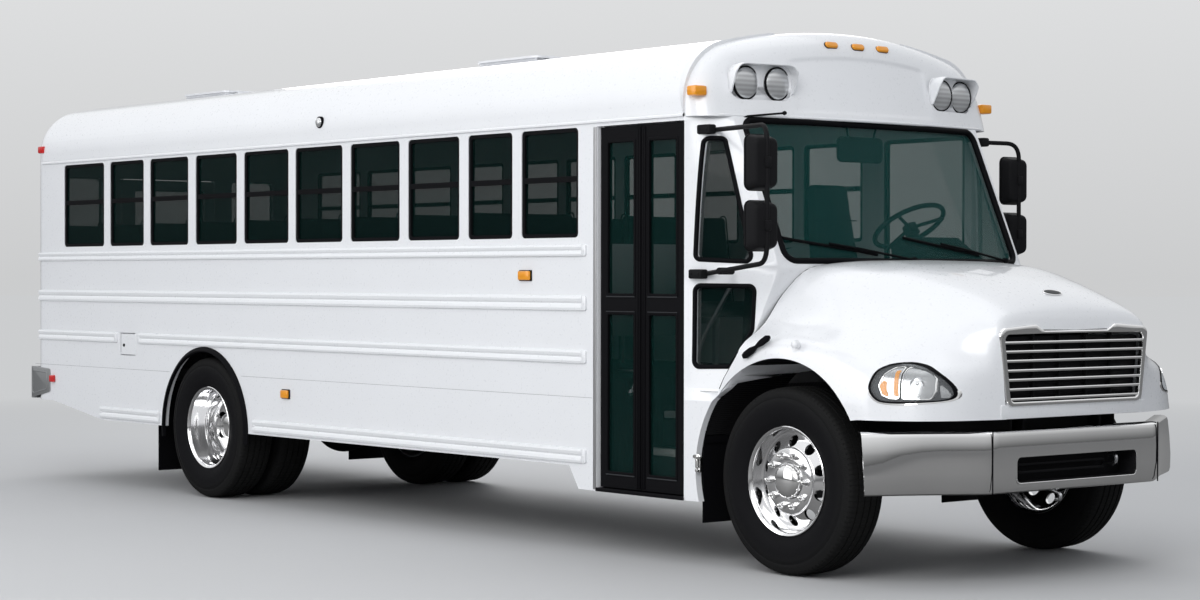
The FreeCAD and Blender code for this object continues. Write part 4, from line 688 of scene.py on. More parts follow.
# ---- room and camera
@dataclass
class Room:
    """Pale floor, soft studio light and the camera."""

    lens: float = 73.0
    stand: tuple[float, float, float] = (13.419, -10.307, 1.626)
    azimuth: float = 50.54
    fall: float = 0.555
    roll: float = 0.071
    horizon: tuple[float, float, float, float] = (0.6, 0.61, 0.62, 1.0)

    def floor(self) -> None:
        """Pale floor that carries the shadow and fades into the backdrop far out."""
        bpy.ops.mesh.primitive_plane_add(size=400)
        floor = taken("floor")
        g = Graph("pale_floor")
        shone = g.node("ShaderNodeLightPath", {}, {}, "Is Glossy Ray")
        pale = g.mix(g.noise(0.4), (0.5, 0.505, 0.51), (0.53, 0.53, 0.535))
        g.set(Base_Color=g.mix(shone, pale, (0.17, 0.168, 0.165)), Roughness=0.7)
        x, y, _ = g.axes(g.place())
        far = (x * x + y * y).math("SQRT")
        seen = g.node("ShaderNodeLightPath", {}, {}, "Is Camera Ray")
        glow = g.node("ShaderNodeEmission", {}, {"Color": self.horizon})
        share = far.ramp(6.5, 17.0) * seen
        g.end(g.node("ShaderNodeMixShader", {}, {0: share, 1: g.surface(), 2: glow}))
        floor.data.materials.append(g.material)

    def shade(self, g: Tree, rows: Rows) -> Sock:
        """Backdrop that brightens with height, by rows of height and tone."""
        height = g.axes(g.node("ShaderNodeTexCoord", {}, {}, "Generated"))[2]
        ramp = g.node("ShaderNodeValToRGB", {}, {0: height})
        stops = ramp.socket.node.color_ramp.elements
        stops.new(0.5)
        for stop, (place, tone) in zip(stops, rows):
            stop.position, stop.color = place, (tone, tone * 1.01, tone * 1.02, 1.0)
        return g.node("ShaderNodeBackground", {}, {"Color": ramp})

    def sky(self) -> None:
        """Pale backdrop for the camera and through glass, a darker one in metal, soft light for the rest."""
        world = bpy.data.worlds.new("studio")
        bpy.context.scene.world = world
        g = Tree(world, "ShaderNodeOutputWorld")
        shown = self.shade(g, ((0.0, self.horizon[0]), (0.18, 0.8), (0.55, 1.0)))
        shine = self.shade(g, ((0.0, 0.12), (0.1, 0.45), (0.35, 1.0)))
        light = g.node("ShaderNodeBackground", {}, {"Color": (0.9, 0.94, 1.0), "Strength": 0.5})
        camera, through, glossy = (g.node("ShaderNodeLightPath", {}, {}, f"Is {ray} Ray")
                                   for ray in ("Camera", "Transmission", "Glossy"))
        gloss = g.node("ShaderNodeMixShader", {}, {0: glossy, 1: light, 2: shine})
        seen = camera.math("MAXIMUM", through)
        g.end(g.node("ShaderNodeMixShader", {}, {0: seen, 1: gloss, 2: shown}))

    def lamps(self) -> None:
        """Large soft lamps: name, place, size and power of each."""
        for name, place, size, power in (("key", (9.0, -9.0, 7.0), 7.0, 640.0),
                                         ("top", (0.0, 0.0, 11.0), 12.0, 330.0),
                                         ("side", (-3.0, -13.0, 5.0), 9.0, 600.0),
                                         ("back", (-9.0, 8.0, 7.0), 8.0, 480.0)):
            bpy.ops.object.light_add(type="AREA", location=place)
            lamp = bpy.context.active_object
            lamp.name, lamp.data.size, lamp.data.energy = name, size, power
            lamp.rotation_euler = Vector(place).to_track_quat("Z", "Y").to_euler()

    def camera(self) -> None:
        """Camera at the front right, as high as a person's eyes."""
        a, e = math.radians(self.azimuth), math.radians(self.fall)
        forward = Vector((-math.sin(a) * math.cos(e), math.cos(a) * math.cos(e), -math.sin(e)))
        bpy.ops.object.camera_add(location=self.stand)
        camera = bpy.context.active_object
        camera.name = "camera"
        roll = Matrix.Rotation(math.radians(self.roll), 3, "Z").to_quaternion()
        camera.rotation_euler = (forward.to_track_quat("-Z", "Y") @ roll).to_euler()
        camera.data.lens, camera.data.sensor_width = self.lens, 36.0
        camera.data.clip_end = 200
        bpy.context.scene.camera = camera
        bpy.context.scene.view_settings.view_transform = "Standard"

    def build(self) -> None:
        """Set up the whole room."""
        self.floor()
        self.sky()
        self.lamps()
        self.camera()


# ---- hood
def looped(points: Points, steps: int) -> Outline:
    """Smooth closed outline through some points."""
    out = []
    count = len(points)
    for i in range(count):
        a, b, c, d = (points[(i + k) % count] for k in (-1, 0, 1, 2))
        for k in range(steps):
            t = k / steps
            out.append(tuple(0.5 * (2 * b[j] + (c[j] - a[j]) * t
                                    + (2 * a[j] - 5 * b[j] + 4 * c[j] - d[j]) * t * t
                                    + (3 * b[j] - a[j] - 3 * c[j] + d[j]) * t ** 3) for j in (0, 1)))
    return out


def curve_at(rows: Points, x: float) -> list[float]:
    """Smooth values at a place, as a cubic through rows that start with their place."""
    places = [r[0] for r in rows]
    k = max(0, min(len(rows) - 2, sum(1 for p in places[1:-1] if p <= x)))

    def slope(i: int, j: int) -> float:
        """Slope of a column at a row: flat at a turn, and a mean of both sides elsewhere."""
        if i == 0 or i == len(rows) - 1:
            a, b = (0, 1) if i == 0 else (i - 1, i)
            return (rows[b][j] - rows[a][j]) / (places[b] - places[a])
        before = (rows[i][j] - rows[i - 1][j]) / (places[i] - places[i - 1])
        after = (rows[i + 1][j] - rows[i][j]) / (places[i + 1] - places[i])
        return 0.0 if before * after <= 0 else 2 * before * after / (before + after)

    span = places[k + 1] - places[k]
    t = min(1.0, max(0.0, (x - places[k]) / span))
    out = []
    for j in range(1, len(rows[0])):
        a, b = rows[k][j], rows[k + 1][j]
        m, n = slope(k, j) * span, slope(k + 1, j) * span
        start = a * (1 + 2 * t) * (1 - t) ** 2 + m * t * (1 - t) ** 2
        out.append(start + b * t * t * (3 - 2 * t) - n * t * t * (1 - t))
    return out


@dataclass
class Hood:
    """Tilting hood with both fenders: one smooth skin, its arches and its lamp openings cut."""

    skin: float = 0.008
    arch_r: float = 0.634
    arch_z: float = 0.55
    steps: int = 46
    across: int = 30
    feet: int = 7  # number of the foot's column
    # place, then across and up of: middle, inner, shoulder, waist, crown, brow, side, foot
    sections: Rows = (
        (-0.62, 0, 1.716, 0.45, 1.712, 0.82, 1.68, 0.96, 1.52,
         1.06, 1.33, 1.195, 1.19, 1.197, 0.95, 1.197, 0.64),
        (-0.06, 0, 1.722, 0.45, 1.716, 0.8, 1.682, 0.945, 1.545,
         1.05, 1.375, 1.19, 1.225, 1.197, 0.95, 1.197, 0.64),
        (0.3, 0, 1.703, 0.42, 1.694, 0.72, 1.64, 0.86, 1.505,
         1.01, 1.36, 1.18, 1.205, 1.197, 0.95, 1.197, 0.8),
        (0.62, 0, 1.636, 0.38, 1.62, 0.64, 1.562, 0.765, 1.435,
         0.94, 1.275, 1.145, 1.14, 1.19, 0.98, 1.192, 0.878),
        (0.86, 0, 1.556, 0.34, 1.54, 0.58, 1.488, 0.69, 1.37,
         0.81, 1.215, 0.985, 1.105, 1.045, 0.99, 1.068, 0.878),
        (0.985, 0, 1.495, 0.33, 1.48, 0.56, 1.438, 0.64, 1.35,
         0.69, 1.205, 0.79, 1.11, 0.84, 1.0, 0.87, 0.878),
        (1.042, 0, 1.436, 0.33, 1.43, 0.55, 1.402, 0.618, 1.33,
         0.625, 1.2, 0.628, 1.11, 0.636, 1.0, 0.655, 0.878),
        (1.06, 0, 1.343, 0.33, 1.347, 0.56, 1.342, 0.598, 1.3,
         0.59, 1.2, 0.58, 1.11, 0.568, 1.0, 0.556, 0.878),
    )
    # rear edge: place of each of the eight columns
    rear: tuple[float, ...] = (-0.045, -0.05, -0.125, -0.205, -0.258, -0.32, -0.48, -0.48)
    # lamp outlines in the side view, ahead and up
    lamp: Rows = (
        (0.655, 1.075), (0.668, 1.132), (0.704, 1.17), (0.765, 1.181), (0.83, 1.168), (0.885, 1.143),
        (0.935, 1.106), (0.972, 1.055), (0.983, 1.008), (0.962, 0.984), (0.9, 0.974), (0.8, 0.968),
        (0.722, 0.976), (0.679, 1.008), (0.658, 1.042))
    unit: Rows = (
        (0.697, 1.06), (0.704, 1.12), (0.73, 1.157), (0.764, 1.16), (0.8, 0.99), (0.76, 0.992),
        (0.722, 1.01))
    main: Rows = (
        (0.771, 1.16), (0.83, 1.152), (0.88, 1.136), (0.908, 1.1), (0.92, 1.03), (0.912, 0.988),
        (0.808, 0.99))
    fin: Rows = ((0.918, 1.074), (0.958, 1.02), (0.966, 1.0), (0.934, 0.996))
    amber: tuple[Rows, Rows] = (((0.703, 1.06), (0.712, 1.088), (0.728, 1.076), (0.735, 1.04), (0.752, 1.006),
                                 (0.735, 1.008), (0.716, 1.028)),
                                ((0.744, 1.138), (0.757, 1.138), (0.792, 1.006), (0.774, 1.01)))

    def point(self, share: float, v: float) -> Vector:
        """Left-hand point of the skin.

        Args:
            share: 0 at the rear edge and 1 at the nose.
            v: column, 0 at the middle and 7 at the foot.
        Returns:
            The point.
        """
        back = curve_at([(float(i), a) for i, a in enumerate(self.rear)], v)[0]
        x = back + (self.sections[-1][0] - back) * (1 - (1 - share) ** 1.25)
        row = curve_at(self.sections, x)
        y, z = curve_at([(float(i), row[2 * i], row[2 * i + 1]) for i in range(self.feet + 1)], v)
        return Vector((at(x), y, z))

    def sheet(self) -> Piece:
        """The bare skin as one sheet, from foot to foot."""
        rows = []
        for step in range(self.steps + 1):
            half = [self.point(step / self.steps, self.feet * k / self.across)
                    for k in range(self.across + 1)]
            rows.append(half[::-1] + [Vector((p.x, -p.y, p.z)) for p in half[1:]])
        return facing(grid("hood_sheet", rows), (at(0.4), 0, 1.69), (0, 0, 1))

    def seam(self) -> None:
        """Dark line a little under the rear edge, where the cowl shows: a rubber bead of painted shade for
        the gap.
        """
        edge = []
        for k in range(-29, 30):
            side = -1 if k < 0 else 1
            place = self.point(0.0, abs(k) / 5)
            edge.append(Vector((place.x - 0.005, side * (place.y - 0.004), place.z - 0.004)))
        # painted shade: a dark bead stands in for the shade in the gap between hood and cowl
        settle(hose("hood_gap_shade", edge, 0.0045, 6), RUBBER, "root", 60)

    def build(self) -> None:
        """Skin, arches, nose strip, headlamps and the painted shade line at the rear edge."""
        self.bare = self.sheet()
        self.tree = tree_over(self.bare.data)
        shell = clone(self.bare, "hood_skin", Matrix.Identity(4))
        modified(shell, "SOLIDIFY", thickness=self.skin, offset=-1.0)
        for side, _ in SIDES:
            rows = ((0.6, self.arch_r), (1.4, self.arch_r), (1.4, 0.01), (0.6, 0.01))
            centre = (AXLE_X, 0, self.arch_z)
            cut(shell, spun("arch_tool", [(side * a, r) for a, r in rows], centre, steps=96))
            cut(shell, self.prism(side, looped(self.lamp, 3), 0))
        strip = plate("nose_strip", X, oblong((-0.595, 0.595), (0.878, 0.955), 0.012),
                      ahead(1.035, 1.0595), 0.006)
        merged("hood_skin", [shell, strip], WHITE, "hood", 40, ("hood",))
        self.seam()
        self.headlamps()
        bpy.data.objects.remove(self.bare)

    def prism(self, side: int, outline: Points, corner: float) -> Piece:
        """Tool of an outline in the side view, through one fender."""
        rows = [(at(x), z) for x, z in outline]
        span = tuple(sorted((side * 0.5, side * 1.4)))
        return plate("tool", Y, rounded(rows, corner) if corner else rows, span)

    def patch(self, side: int, outline: Points, lift: float, thick: float,
              hole: Points = (), corner: float = 0.012) -> Piece:
        """Piece of the skin inside an outline.

        Args:
            side: -1 for the right fender, 1 for the left.
            outline: in the side view.
            lift: how far it lies off the skin, or under it if negative.
            thick: its thickness.
            hole: outline of an opening through it.
            corner: radius of both outlines' corners.
        Returns:
            The piece.
        """
        piece = clone(self.bare, "patch", Matrix.Identity(4))
        shaped(piece, lambda: bpy.ops.mesh.delete(type="FACE"),
               lambda middle: middle.x < at(0.56) or middle.z > 1.32 or middle.y * side < 0.5)
        modified(piece, "DISPLACE", strength=lift, mid_level=0.0)
        modified(piece, "SOLIDIFY", thickness=thick, offset=-1.0)
        cut(piece, self.prism(side, outline, corner), "INTERSECT")
        if hole:
            cut(piece, self.prism(side, hole, corner))
        return piece

    def bowl(self, side: int, word: str) -> None:
        """Round reflector with its bulb, behind the cover."""
        bowl = spun("bowl", ((0.0, 0.0), (0.003, 0.012), (0.01, 0.026), (0.022, 0.037), (0.026, 0.037),
                             (0.013, 0.025), (0.007, 0.011), (0.005, 0.0)), (0, 0, 0), X, 28)
        bulb = spun("bulb", ((0.004, 0.0), (0.004, 0.009), (0.018, 0.009), (0.023, 0.006), (0.025, 0.0)),
                    (0, 0, 0), X, 14)
        whole = joined("lamp_bowl_" + word, [bowl, bulb])
        place = on_skin(self.tree, (at(0.855), side * 1.5, 1.07), (0, -side, 0))
        place += Vector((-0.02, -side * 0.02, 0))
        whole.data.transform(Matrix.Translation(place) @ Matrix.Rotation(side * math.radians(48), 4, "Z"))
        settle(outward(whole), ALLOY, "hood", 45)

    def headlamps(self) -> None:
        """Housing, rim, reflector units, amber strips, fin and clear cover of both lamps."""
        full = looped(self.lamp, 3)
        inside, outside = (grown(full, by, self.lamp) for by in (-0.01, 0.008))
        for side, word in SIDES:
            def lay(name: str, finish: Finish, *patches: tuple) -> None:
                """Settle patches of this fender as one piece of the lamp."""
                made = [self.patch(side, *patch) for patch in patches]
                merged(f"lamp_{name}_{word}", made, finish, "hood", 40)

            rim = self.patch(side, full, 0.0035, 0.034, inside, 0)
            merged("lamp_rim_" + word, [rim], RUBBER, "hood", 40, ("headlamps",) if side < 0 else ())
            lay("housing", GREY_PLASTIC, (full, -0.016, 0.01, (), 0))
            lay("reflectors", REFLECTOR, (self.unit, -0.01, 0.006), (self.main, -0.009, 0.007),
                (self.fin, -0.012, 0.004, (), 0.004))
            lay("amber", AMBER, *((strip, -0.007, 0.004, (), 0.004) for strip in self.amber))
            lay("edges", CHROME, *((line, -0.006, 0.006, grown(line, -0.004))
                                   for line in (self.unit, self.main)))
            self.bowl(side, word)
            lay("cover", COVER, (inside, 0.0015, 0.003, (), 0))
            trim = joined("lamp_trim_" + word, [self.patch(side, outside, 0.003, 0.008, full, 0)])
            cut(trim, block("keep", ahead(0.5, 1.1), (-1.5, 1.5), (0.9, 1.035)), "INTERSECT")
            settle(trim, CHROME, "hood", 40)


# ---- wheels
@dataclass(frozen=True)
class Tread(Finish):
    """Tyre rubber with sipes across the crown and fine ribs on the sidewall, about a wheel's axle line."""

    axle: float = 0.0

    def dress(self, g: Graph) -> None:
        """Sipes and ribs go by the angle round the axle."""
        super().dress(g)
        x, _, z = g.axes(g.place(centre=(-self.axle, 0, -TYRE_R)))
        angle = z.math("ARCTAN2", x)
        far = (x * x + z * z).math("SQRT")
        sipes = (angle * 110.0).math("SINE").ramp(0.55, 0.8) * far.ramp(0.494, 0.498)
        ribs = (angle * 300.0).math("SINE") * far.ramp(0.455, 0.457) * far.ramp(0.487, 0.489, 1, 0)
        g.bump(sipes * -1.0 + ribs * 0.12, 0.004)
        g.set(Base_Color=g.mix(far.ramp(0.4, 0.5), (0.008, 0.008, 0.009), (0.014, 0.014, 0.014)))


FRONT_TREAD = Tread("tyre_rubber_front", "tyre_rubber", (0.016, 0.016, 0.017), 0.55, axle=AXLE_X)
REAR_TREAD = Tread("tyre_rubber_rear", "tyre_rubber", (0.016, 0.016, 0.017), 0.55, axle=REAR_AXLE_X)


def both(obj: Piece, finish: Finish, body: str = "root", node: str = "", angle: float = 35) -> None:
    """Settle a right-hand piece and its mirror image, on the bodies and for the nodes of each side."""
    name = obj.name
    left = clone(obj, name + "_left", MIRROR_Y)
    obj.name = obj.data.name = name + "_right"
    for piece, side in ((obj, "right"), (left, "left")):
        ride = body if body in ("root", "hood") else body + "_" + side
        settle(piece, finish, ride, angle, (node + "_" + side,) if node else ())


@dataclass
class Wheels:
    """Two steered wheels and the twin rear wheels, as turned pieces."""

    track: float = 1.02
    rear: float = 1.073
    twin: float = 0.33
    holes: int = 10
    hole_r: float = 0.031
    hole_ring: float = 0.218
    nut_ring: float = 0.142
    # each row: along the axle, radius
    wall: Rows = (
        (0.104, 0.2868), (0.106, 0.3), (0.112, 0.3055), (0.12, 0.318), (0.127, 0.335), (0.133, 0.354),
        (0.1385, 0.38), (0.14, 0.405), (0.1395, 0.428), (0.1375, 0.448), (0.1345, 0.4505), (0.1342, 0.4545),
        (0.1355, 0.457), (0.132, 0.472), (0.127, 0.487), (0.121, 0.4975), (0.1145, 0.504), (0.106, 0.508),
        (0.096, 0.51), (0.075, 0.5115), (0.073, 0.501), (0.066, 0.501), (0.064, 0.5122), (0.028, 0.5138),
        (0.026, 0.502), (0.019, 0.502), (0.017, 0.5143))
    liner: Rows = ((0.1, 0.49), (0.118, 0.45), (0.121, 0.39), (0.106, 0.33), (0.096, 0.2885))
    lip: Rows = (
        (0.119, 0.2965), (0.116, 0.3005), (0.108, 0.3005), (0.105, 0.296), (0.104, 0.287), (-0.104, 0.287),
        (-0.105, 0.296), (-0.108, 0.3005), (-0.116, 0.3005), (-0.119, 0.2965), (-0.116, 0.288))
    front_dish: Rows = (
        (-0.098, 0.276), (0.012, 0.271), (0.02, 0.258), (0.058, 0.188), (0.066, 0.178), (0.07, 0.098),
        (0.088, 0.098), (0.092, 0.102), (0.092, 0.173), (0.089, 0.1785), (0.08, 0.181), (0.074, 0.189),
        (0.062, 0.212), (0.048, 0.236), (0.04, 0.25), (0.037, 0.26), (0.042, 0.269), (0.06, 0.273),
        (0.095, 0.2765), (0.11, 0.283), (0.117, 0.29))
    rear_dish: Rows = (
        (-0.119, 0.27), (-0.13, 0.25), (-0.146, 0.232), (-0.163, 0.19), (-0.1645, 0.098), (-0.151, 0.098),
        (-0.149, 0.183), (-0.134, 0.226), (-0.116, 0.245), (-0.09, 0.256), (-0.055, 0.259), (-0.03, 0.259),
        (-0.016, 0.264), (-0.004, 0.271), (0.055, 0.2735), (0.06, 0.277), (0.098, 0.278), (0.11, 0.284),
        (0.117, 0.29))
    front_hub: Rows = (
        (0.062, 0.0), (0.062, 0.097), (0.096, 0.097), (0.108, 0.0945), (0.119, 0.088), (0.128, 0.075),
        (0.134, 0.055), (0.138, 0.03), (0.1395, 0.0))
    rear_hub: Rows = (
        (-0.285, 0.0), (-0.285, 0.108), (-0.23, 0.108), (-0.225, 0.097), (-0.06, 0.097), (-0.044, 0.0945),
        (-0.034, 0.086), (-0.027, 0.066), (-0.023, 0.04), (-0.021, 0.0))
    nut: Rows = ((0.0, 0.0), (0.0, 0.0205), (0.006, 0.0205), (0.009, 0.0165), (0.024, 0.016),
                 (0.032, 0.013), (0.037, 0.0095), (0.041, 0.0105), (0.046, 0.0085), (0.0485, 0.0))

    def turn(self, name: str, rows: Points, x: float, y: float, steps: int = 64) -> Piece:
        """Turned piece of a right wheel; a row's place counts outwards from the wheel's middle."""
        return spun(name, [(-run, r) for run, r in rows], (x, -y, TYRE_R), Y, steps)

    def tyre(self, x: float, y: float) -> Piece:
        """One tyre."""
        skin = list(self.wall) + [(-a, r) for a, r in self.wall[::-1]]
        inside = [(-a, r) for a, r in self.liner[::-1]] + list(self.liner)
        return self.turn("tyre", skin + inside, x, y, 96)

    def around(self, radius: float, start: float = 0.0) -> list[Vector]:
        """Ways from the wheel's middle to its holes or nuts, from a part of a step on."""
        turns = [math.tau * (i + start) / self.holes for i in range(self.holes)]
        return [Vector((radius * math.cos(a), 0, radius * math.sin(a))) for a in turns]

    def rim(self, name: str, rows: Points, x: float, y: float) -> Piece:
        """One rim with its disc and the hand holes through it."""
        back, front = Vector((x, -y - 0.13, TYRE_R)), Vector((x, -y + 0.19, TYRE_R))
        drills = [bar("tool", back + way, front + way, self.hole_r, 24)
                  for way in self.around(self.hole_ring, 0.5)]
        return cut(self.turn(name, self.lip + rows, x, y, 80), joined("tool", drills))

    def nuts(self, x: float, y: float, out: float) -> Piece:
        """Ring of capped wheel nuts."""
        first = spun("nut", [(-y - out - run, r) for run, r in self.nut], (x, 0, TYRE_R), Y, 14)
        made = [clone(first, "nut", Matrix.Translation(way)) for way in self.around(self.nut_ring)]
        bpy.data.objects.remove(first)
        return joined("wheel_nuts", made)

    def build(self) -> None:
        """Front and rear wheels of both sides."""
        both(self.tyre(AXLE_X, self.track), FRONT_TREAD, "wheel_front", "front_tyre", 50)
        dish = self.rim("front_wheel", self.front_dish, AXLE_X, self.track)
        both(dish, ALLOY, "wheel_front", "front_rim", 40)
        both(self.turn("front_hub_cap", self.front_hub, AXLE_X, self.track), CHROME, "wheel_front")
        both(self.nuts(AXLE_X, self.track, 0.091), CHROME, "wheel_front")
        outer, inner = self.tyre(REAR_AXLE_X, self.rear), self.tyre(REAR_AXLE_X, self.rear - self.twin)
        both(joined("rear_tyres", [outer, inner]), REAR_TREAD, "wheel_rear", "rear_tyres", 50)
        dish = self.rim("rear_wheel", self.rear_dish, REAR_AXLE_X, self.rear)
        flip = Matrix.Translation((0, self.twin - 2 * self.rear, 0)) @ MIRROR_Y
        back = clone(dish, "rear_inner_wheel", flip)
        both(dish, ALLOY, "wheel_rear", "rear_rims", 40)
        both(back, STEEL, "wheel_rear", "", 40)
        both(self.turn("rear_hub", self.rear_hub, REAR_AXLE_X, self.rear), CHROME, "wheel_rear")
        both(self.nuts(REAR_AXLE_X, self.rear, -0.15), CHROME, "wheel_rear")


# ---- skins of the frame
def tree_over(*meshes: bpy.types.Mesh) -> BVHTree:
    """Tree for finding points on the surfaces of some meshes."""
    spots, faces = [], []
    for mesh in meshes:
        start = len(spots)
        spots += [v.co.copy() for v in mesh.vertices]
        faces += [[start + i for i in face.vertices] for face in mesh.polygons]
    return BVHTree.FromPolygons(spots, faces)


def skin_of(*nodes: str) -> BVHTree:
    """Tree for finding points on CAD nodes' surfaces."""
    return tree_over(*(frame["nodes"][node].data for node in nodes))


def on_skin(tree: BVHTree, start: Point, along: Point, lift: float = 0.0) -> Vector:
    """First point met from a start along a direction, lifted back off the surface."""
    way = Vector(along).normalized()
    hit = tree.ray_cast(Vector(start), way)[0]
    return (hit if hit is not None else Vector(start)) - way * lift


def filled(points: Sequence[Vector], step: float) -> list[Vector]:
    """Path with points added so that none are further apart than a step."""
    out = []
    for here, after in zip(points, points[1:]):
        parts = max(1, math.ceil((after - here).length / step))
        out += [here.lerp(after, k / parts) for k in range(parts)]
    return out + [points[-1]]


# ---- grille, bumper and the hood's hardware
@dataclass
class FrontEnd:
    """Grille, chrome bumper, tow hook, badge, latches and bosses."""

    bars: tuple[float, ...] = (1.28, 1.232, 1.183, 1.132, 1.083, 1.033, 0.981)
    # outlines of the grille, across and up
    surround: Rows = (
        (-0.556, 0.945), (0.556, 0.945), (0.613, 1.356), (0.33, 1.376), (0.262, 1.342), (-0.262, 1.342),
        (-0.33, 1.376), (-0.613, 1.356))
    mouth: Rows = (
        (-0.527, 0.968), (0.527, 0.968), (0.578, 1.322), (0.33, 1.3235), (0.262, 1.3245), (-0.262, 1.3245),
        (-0.33, 1.3235), (-0.578, 1.322))
    # plan of the bumper's face, ahead and across
    plan: Rows = ((0.7, -1.27), (1.083, -0.684), (1.083, 0.684), (0.7, 1.27))
    # section of the bumper: out of the face, height
    section: Rows = (
        (-0.075, 0.8215), (-0.04, 0.8225), (-0.016, 0.819), (-0.004, 0.809), (0.0, 0.79), (0.0025, 0.7),
        (0.0015, 0.6), (-0.006, 0.52), (-0.014, 0.497), (-0.026, 0.489), (-0.05, 0.4875))

    def grille(self) -> None:
        """Surround with a notch in its top, seven bars and the dark core with its uprights."""
        outer, inner = rounded(self.surround, 0.042), rounded(self.mouth, 0.034)
        ring = frame_ring("grille_surround", X, outer, inner, ahead(1.04, 1.0705), 0.008)
        settle(ring, CHROME, "hood", 35, ("grille",))
        made = []
        for z in self.bars:
            half = 0.527 + (z - 0.968) * 0.144 + 0.012
            made.append(block("bar", ahead(1.046, 1.068), (-half, half), about(z, 0.0085), 0.006))
        merged("grille_bars", made, CHROME, "hood")
        core = rounded([(y * 1.01, z - 0.012) for y, z in self.mouth], 0.03)
        settle(plate("grille_core", X, core, ahead(1.012, 1.02), 0.002), PLASTIC, "hood")
        posts = [block("post", ahead(1.018, 1.046), about(y, 0.004), (0.955, 1.33), 0.002)
                 for y in (-0.32, -0.11, 0.11, 0.32)]
        rails = [block("rail", ahead(1.02, 1.03), (-0.53, 0.53), about(z, 0.003), 0.001)
                 for z in (1.0, 1.06, 1.11, 1.16, 1.21, 1.26)]
        merged("grille_uprights", posts + rails, FRAME_BLACK, "hood")

    def face(self) -> Piece:
        """Bent sheet of the bumper, its ends leaning back towards their feet."""
        path = filled(bent([Vector((at(x), y, 0)) for x, y in self.plan], 0.05, 6), 0.12)
        rows = []
        for run, z in self.section:
            row = []
            for before, here, after in zip([path[0]] + path, path, path[1:] + [path[-1]]):
                way = (after - before).normalized()
                lean = max(0.0, abs(here.y) - 1.0) / 0.27 * (0.823 - z) * 0.09
                row.append(here + Vector((way.y, -way.x, 0)) * run + Vector((lean, 0, z)))
            rows.append(row)
        sheet = facing(grid("bumper_face", rows), (at(1.083), 0, 0.65), (1, 0, 0))
        return modified(sheet, "SOLIDIFY", thickness=0.007, offset=-1.0)

    def bumper(self) -> None:
        """Face with a rolled top, dark strips of painted shade on the creases at the quarter points, and a
        slot for the hook.
        """
        tool = plate("slot_tool", X, oblong((-0.498, 0.498), (0.538, 0.68), 0.032), ahead(0.9, 1.2))
        face = cut(self.face(), tool)
        slot = (-0.5, 0.5), (0.536, 0.682)
        lip = rim_round("slot_lip", X, *slot, (0.004, -0.006), (0.036, 0.028), ahead(1.058, 1.0845), 0.003)
        merged("bumper_face", [face, lip], CHROME, "root", 35, ("front_bumper",))
        well = rim_round("slot_well", X, *slot, (0.0, -0.008), (0.03, 0.026), ahead(0.955, 1.076))
        back = plate("slot_back", X, oblong(*slot, 0.03), ahead(0.95, 0.958))
        slats = [block("slat", ahead(1.0, 1.02), (-0.44, 0.3), about(z, 0.007), 0.004)
                 for z in (0.59, 0.632)]
        merged("slot_well", [well, back] + slats, PLASTIC)
        for side, word in SIDES:
            # painted shade: thin black strips along the bends stand in for the dark line of each crease
            crease_shade = block("crease_shade", ahead(1.0772, 1.085), about(side * 0.685, 0.0015), (0.492, 0.822))
            modified(crease_shade, "BEVEL", width=0.0005, segments=1)
            merged("bumper_crease_shade_" + word, [crease_shade], RUBBER)
        high = [(0.96, 0.6), (1.03, 0.6), (1.05, 0.615), (1.05, 0.645), (1.03, 0.658), (1.0, 0.652)]
        low = [(0.9, 0.5), (1.0, 0.478), (1.045, 0.462), (1.045, 0.432), (1.01, 0.43)]
        hooks = [hose("hook", bent([(at(x), y, z) for x, z in line], 0.02), radius, 8)
                 for line, y, radius in ((high, 0.36, 0.011), (low, -0.1, 0.01))]
        merged("tow_hooks", hooks, STEEL)

    def latches(self) -> None:
        """Rubber strap from the hood to the cowl, and a boss on each fender."""
        y = -1.212
        ends = [Vector((at(-0.058), y, 1.3)), Vector((at(-0.262), y, 1.186))]
        run, middle = ends[0] - ends[1], (ends[0] + ends[1]) / 2
        outline = [(-0.118, -0.012), (-0.095, -0.019), (-0.045, -0.019), (0.0, -0.008), (0.045, -0.017),
                   (0.1, -0.017), (0.118, -0.008), (0.118, 0.008), (0.1, 0.017), (0.045, 0.017),
                   (0.0, 0.008), (-0.045, 0.019), (-0.095, 0.019), (-0.118, 0.012)]
        strap = plate("hood_strap", Y, [(middle.x + a, middle.z + b) for a, b in outline],
                      (y - 0.007, y + 0.016), 0.005, 3)
        strap.data.transform(turned_by(-math.degrees(math.atan2(run.z, run.x)), middle, Y))
        both(strap, RUBBER, "hood")
        rows = ((-0.012, 0.0), (-0.012, 0.012), (-0.006, 0.021), (0.02, 0.024), (0.02, 0.0))
        hub = spun("fender_boss", [(y + a, r) for a, r in rows], (at(0.145), 0, 1.262), Y, 24)
        both(hub, WHITE, "hood")

    def badge(self) -> None:
        """Blank oval on the hood, lying along its slope."""
        place, step = 0.9, 0.01
        behind, here, before = (curve_at(Hood.sections, place + k)[1] for k in (-step, 0.0, step))
        slope = Matrix.Rotation(math.atan2(behind - before, 2 * step), 4, "Y")
        pose = Matrix.Translation((at(place), 0, here)) @ slope
        rim = ((-0.012, 0.0), (-0.012, 0.073), (0.0035, 0.073), (0.005, 0.071), (0.005, 0.065),
               (0.003, 0.063), (0.003, 0.0))
        middle = ((-0.004, 0.0), (-0.004, 0.064), (0.0042, 0.064), (0.0046, 0.061), (0.0046, 0.0))
        for name, rows, squeeze, steps, finish in (("badge", rim, 0.48, 48, CHROME),
                                                   ("badge_face", middle, 0.46, 40, GREY_PLASTIC)):
            oval = spun(name, rows, (0, 0, 0), Z, steps)
            oval.data.transform(pose @ Matrix.Diagonal((squeeze, 1.0, 1.0, 1.0)))
            settle(outward(oval), finish, "hood", 30)

    def build(self) -> None:
        """All of the front end."""
        self.grille()
        self.bumper()
        self.latches()
        self.badge()


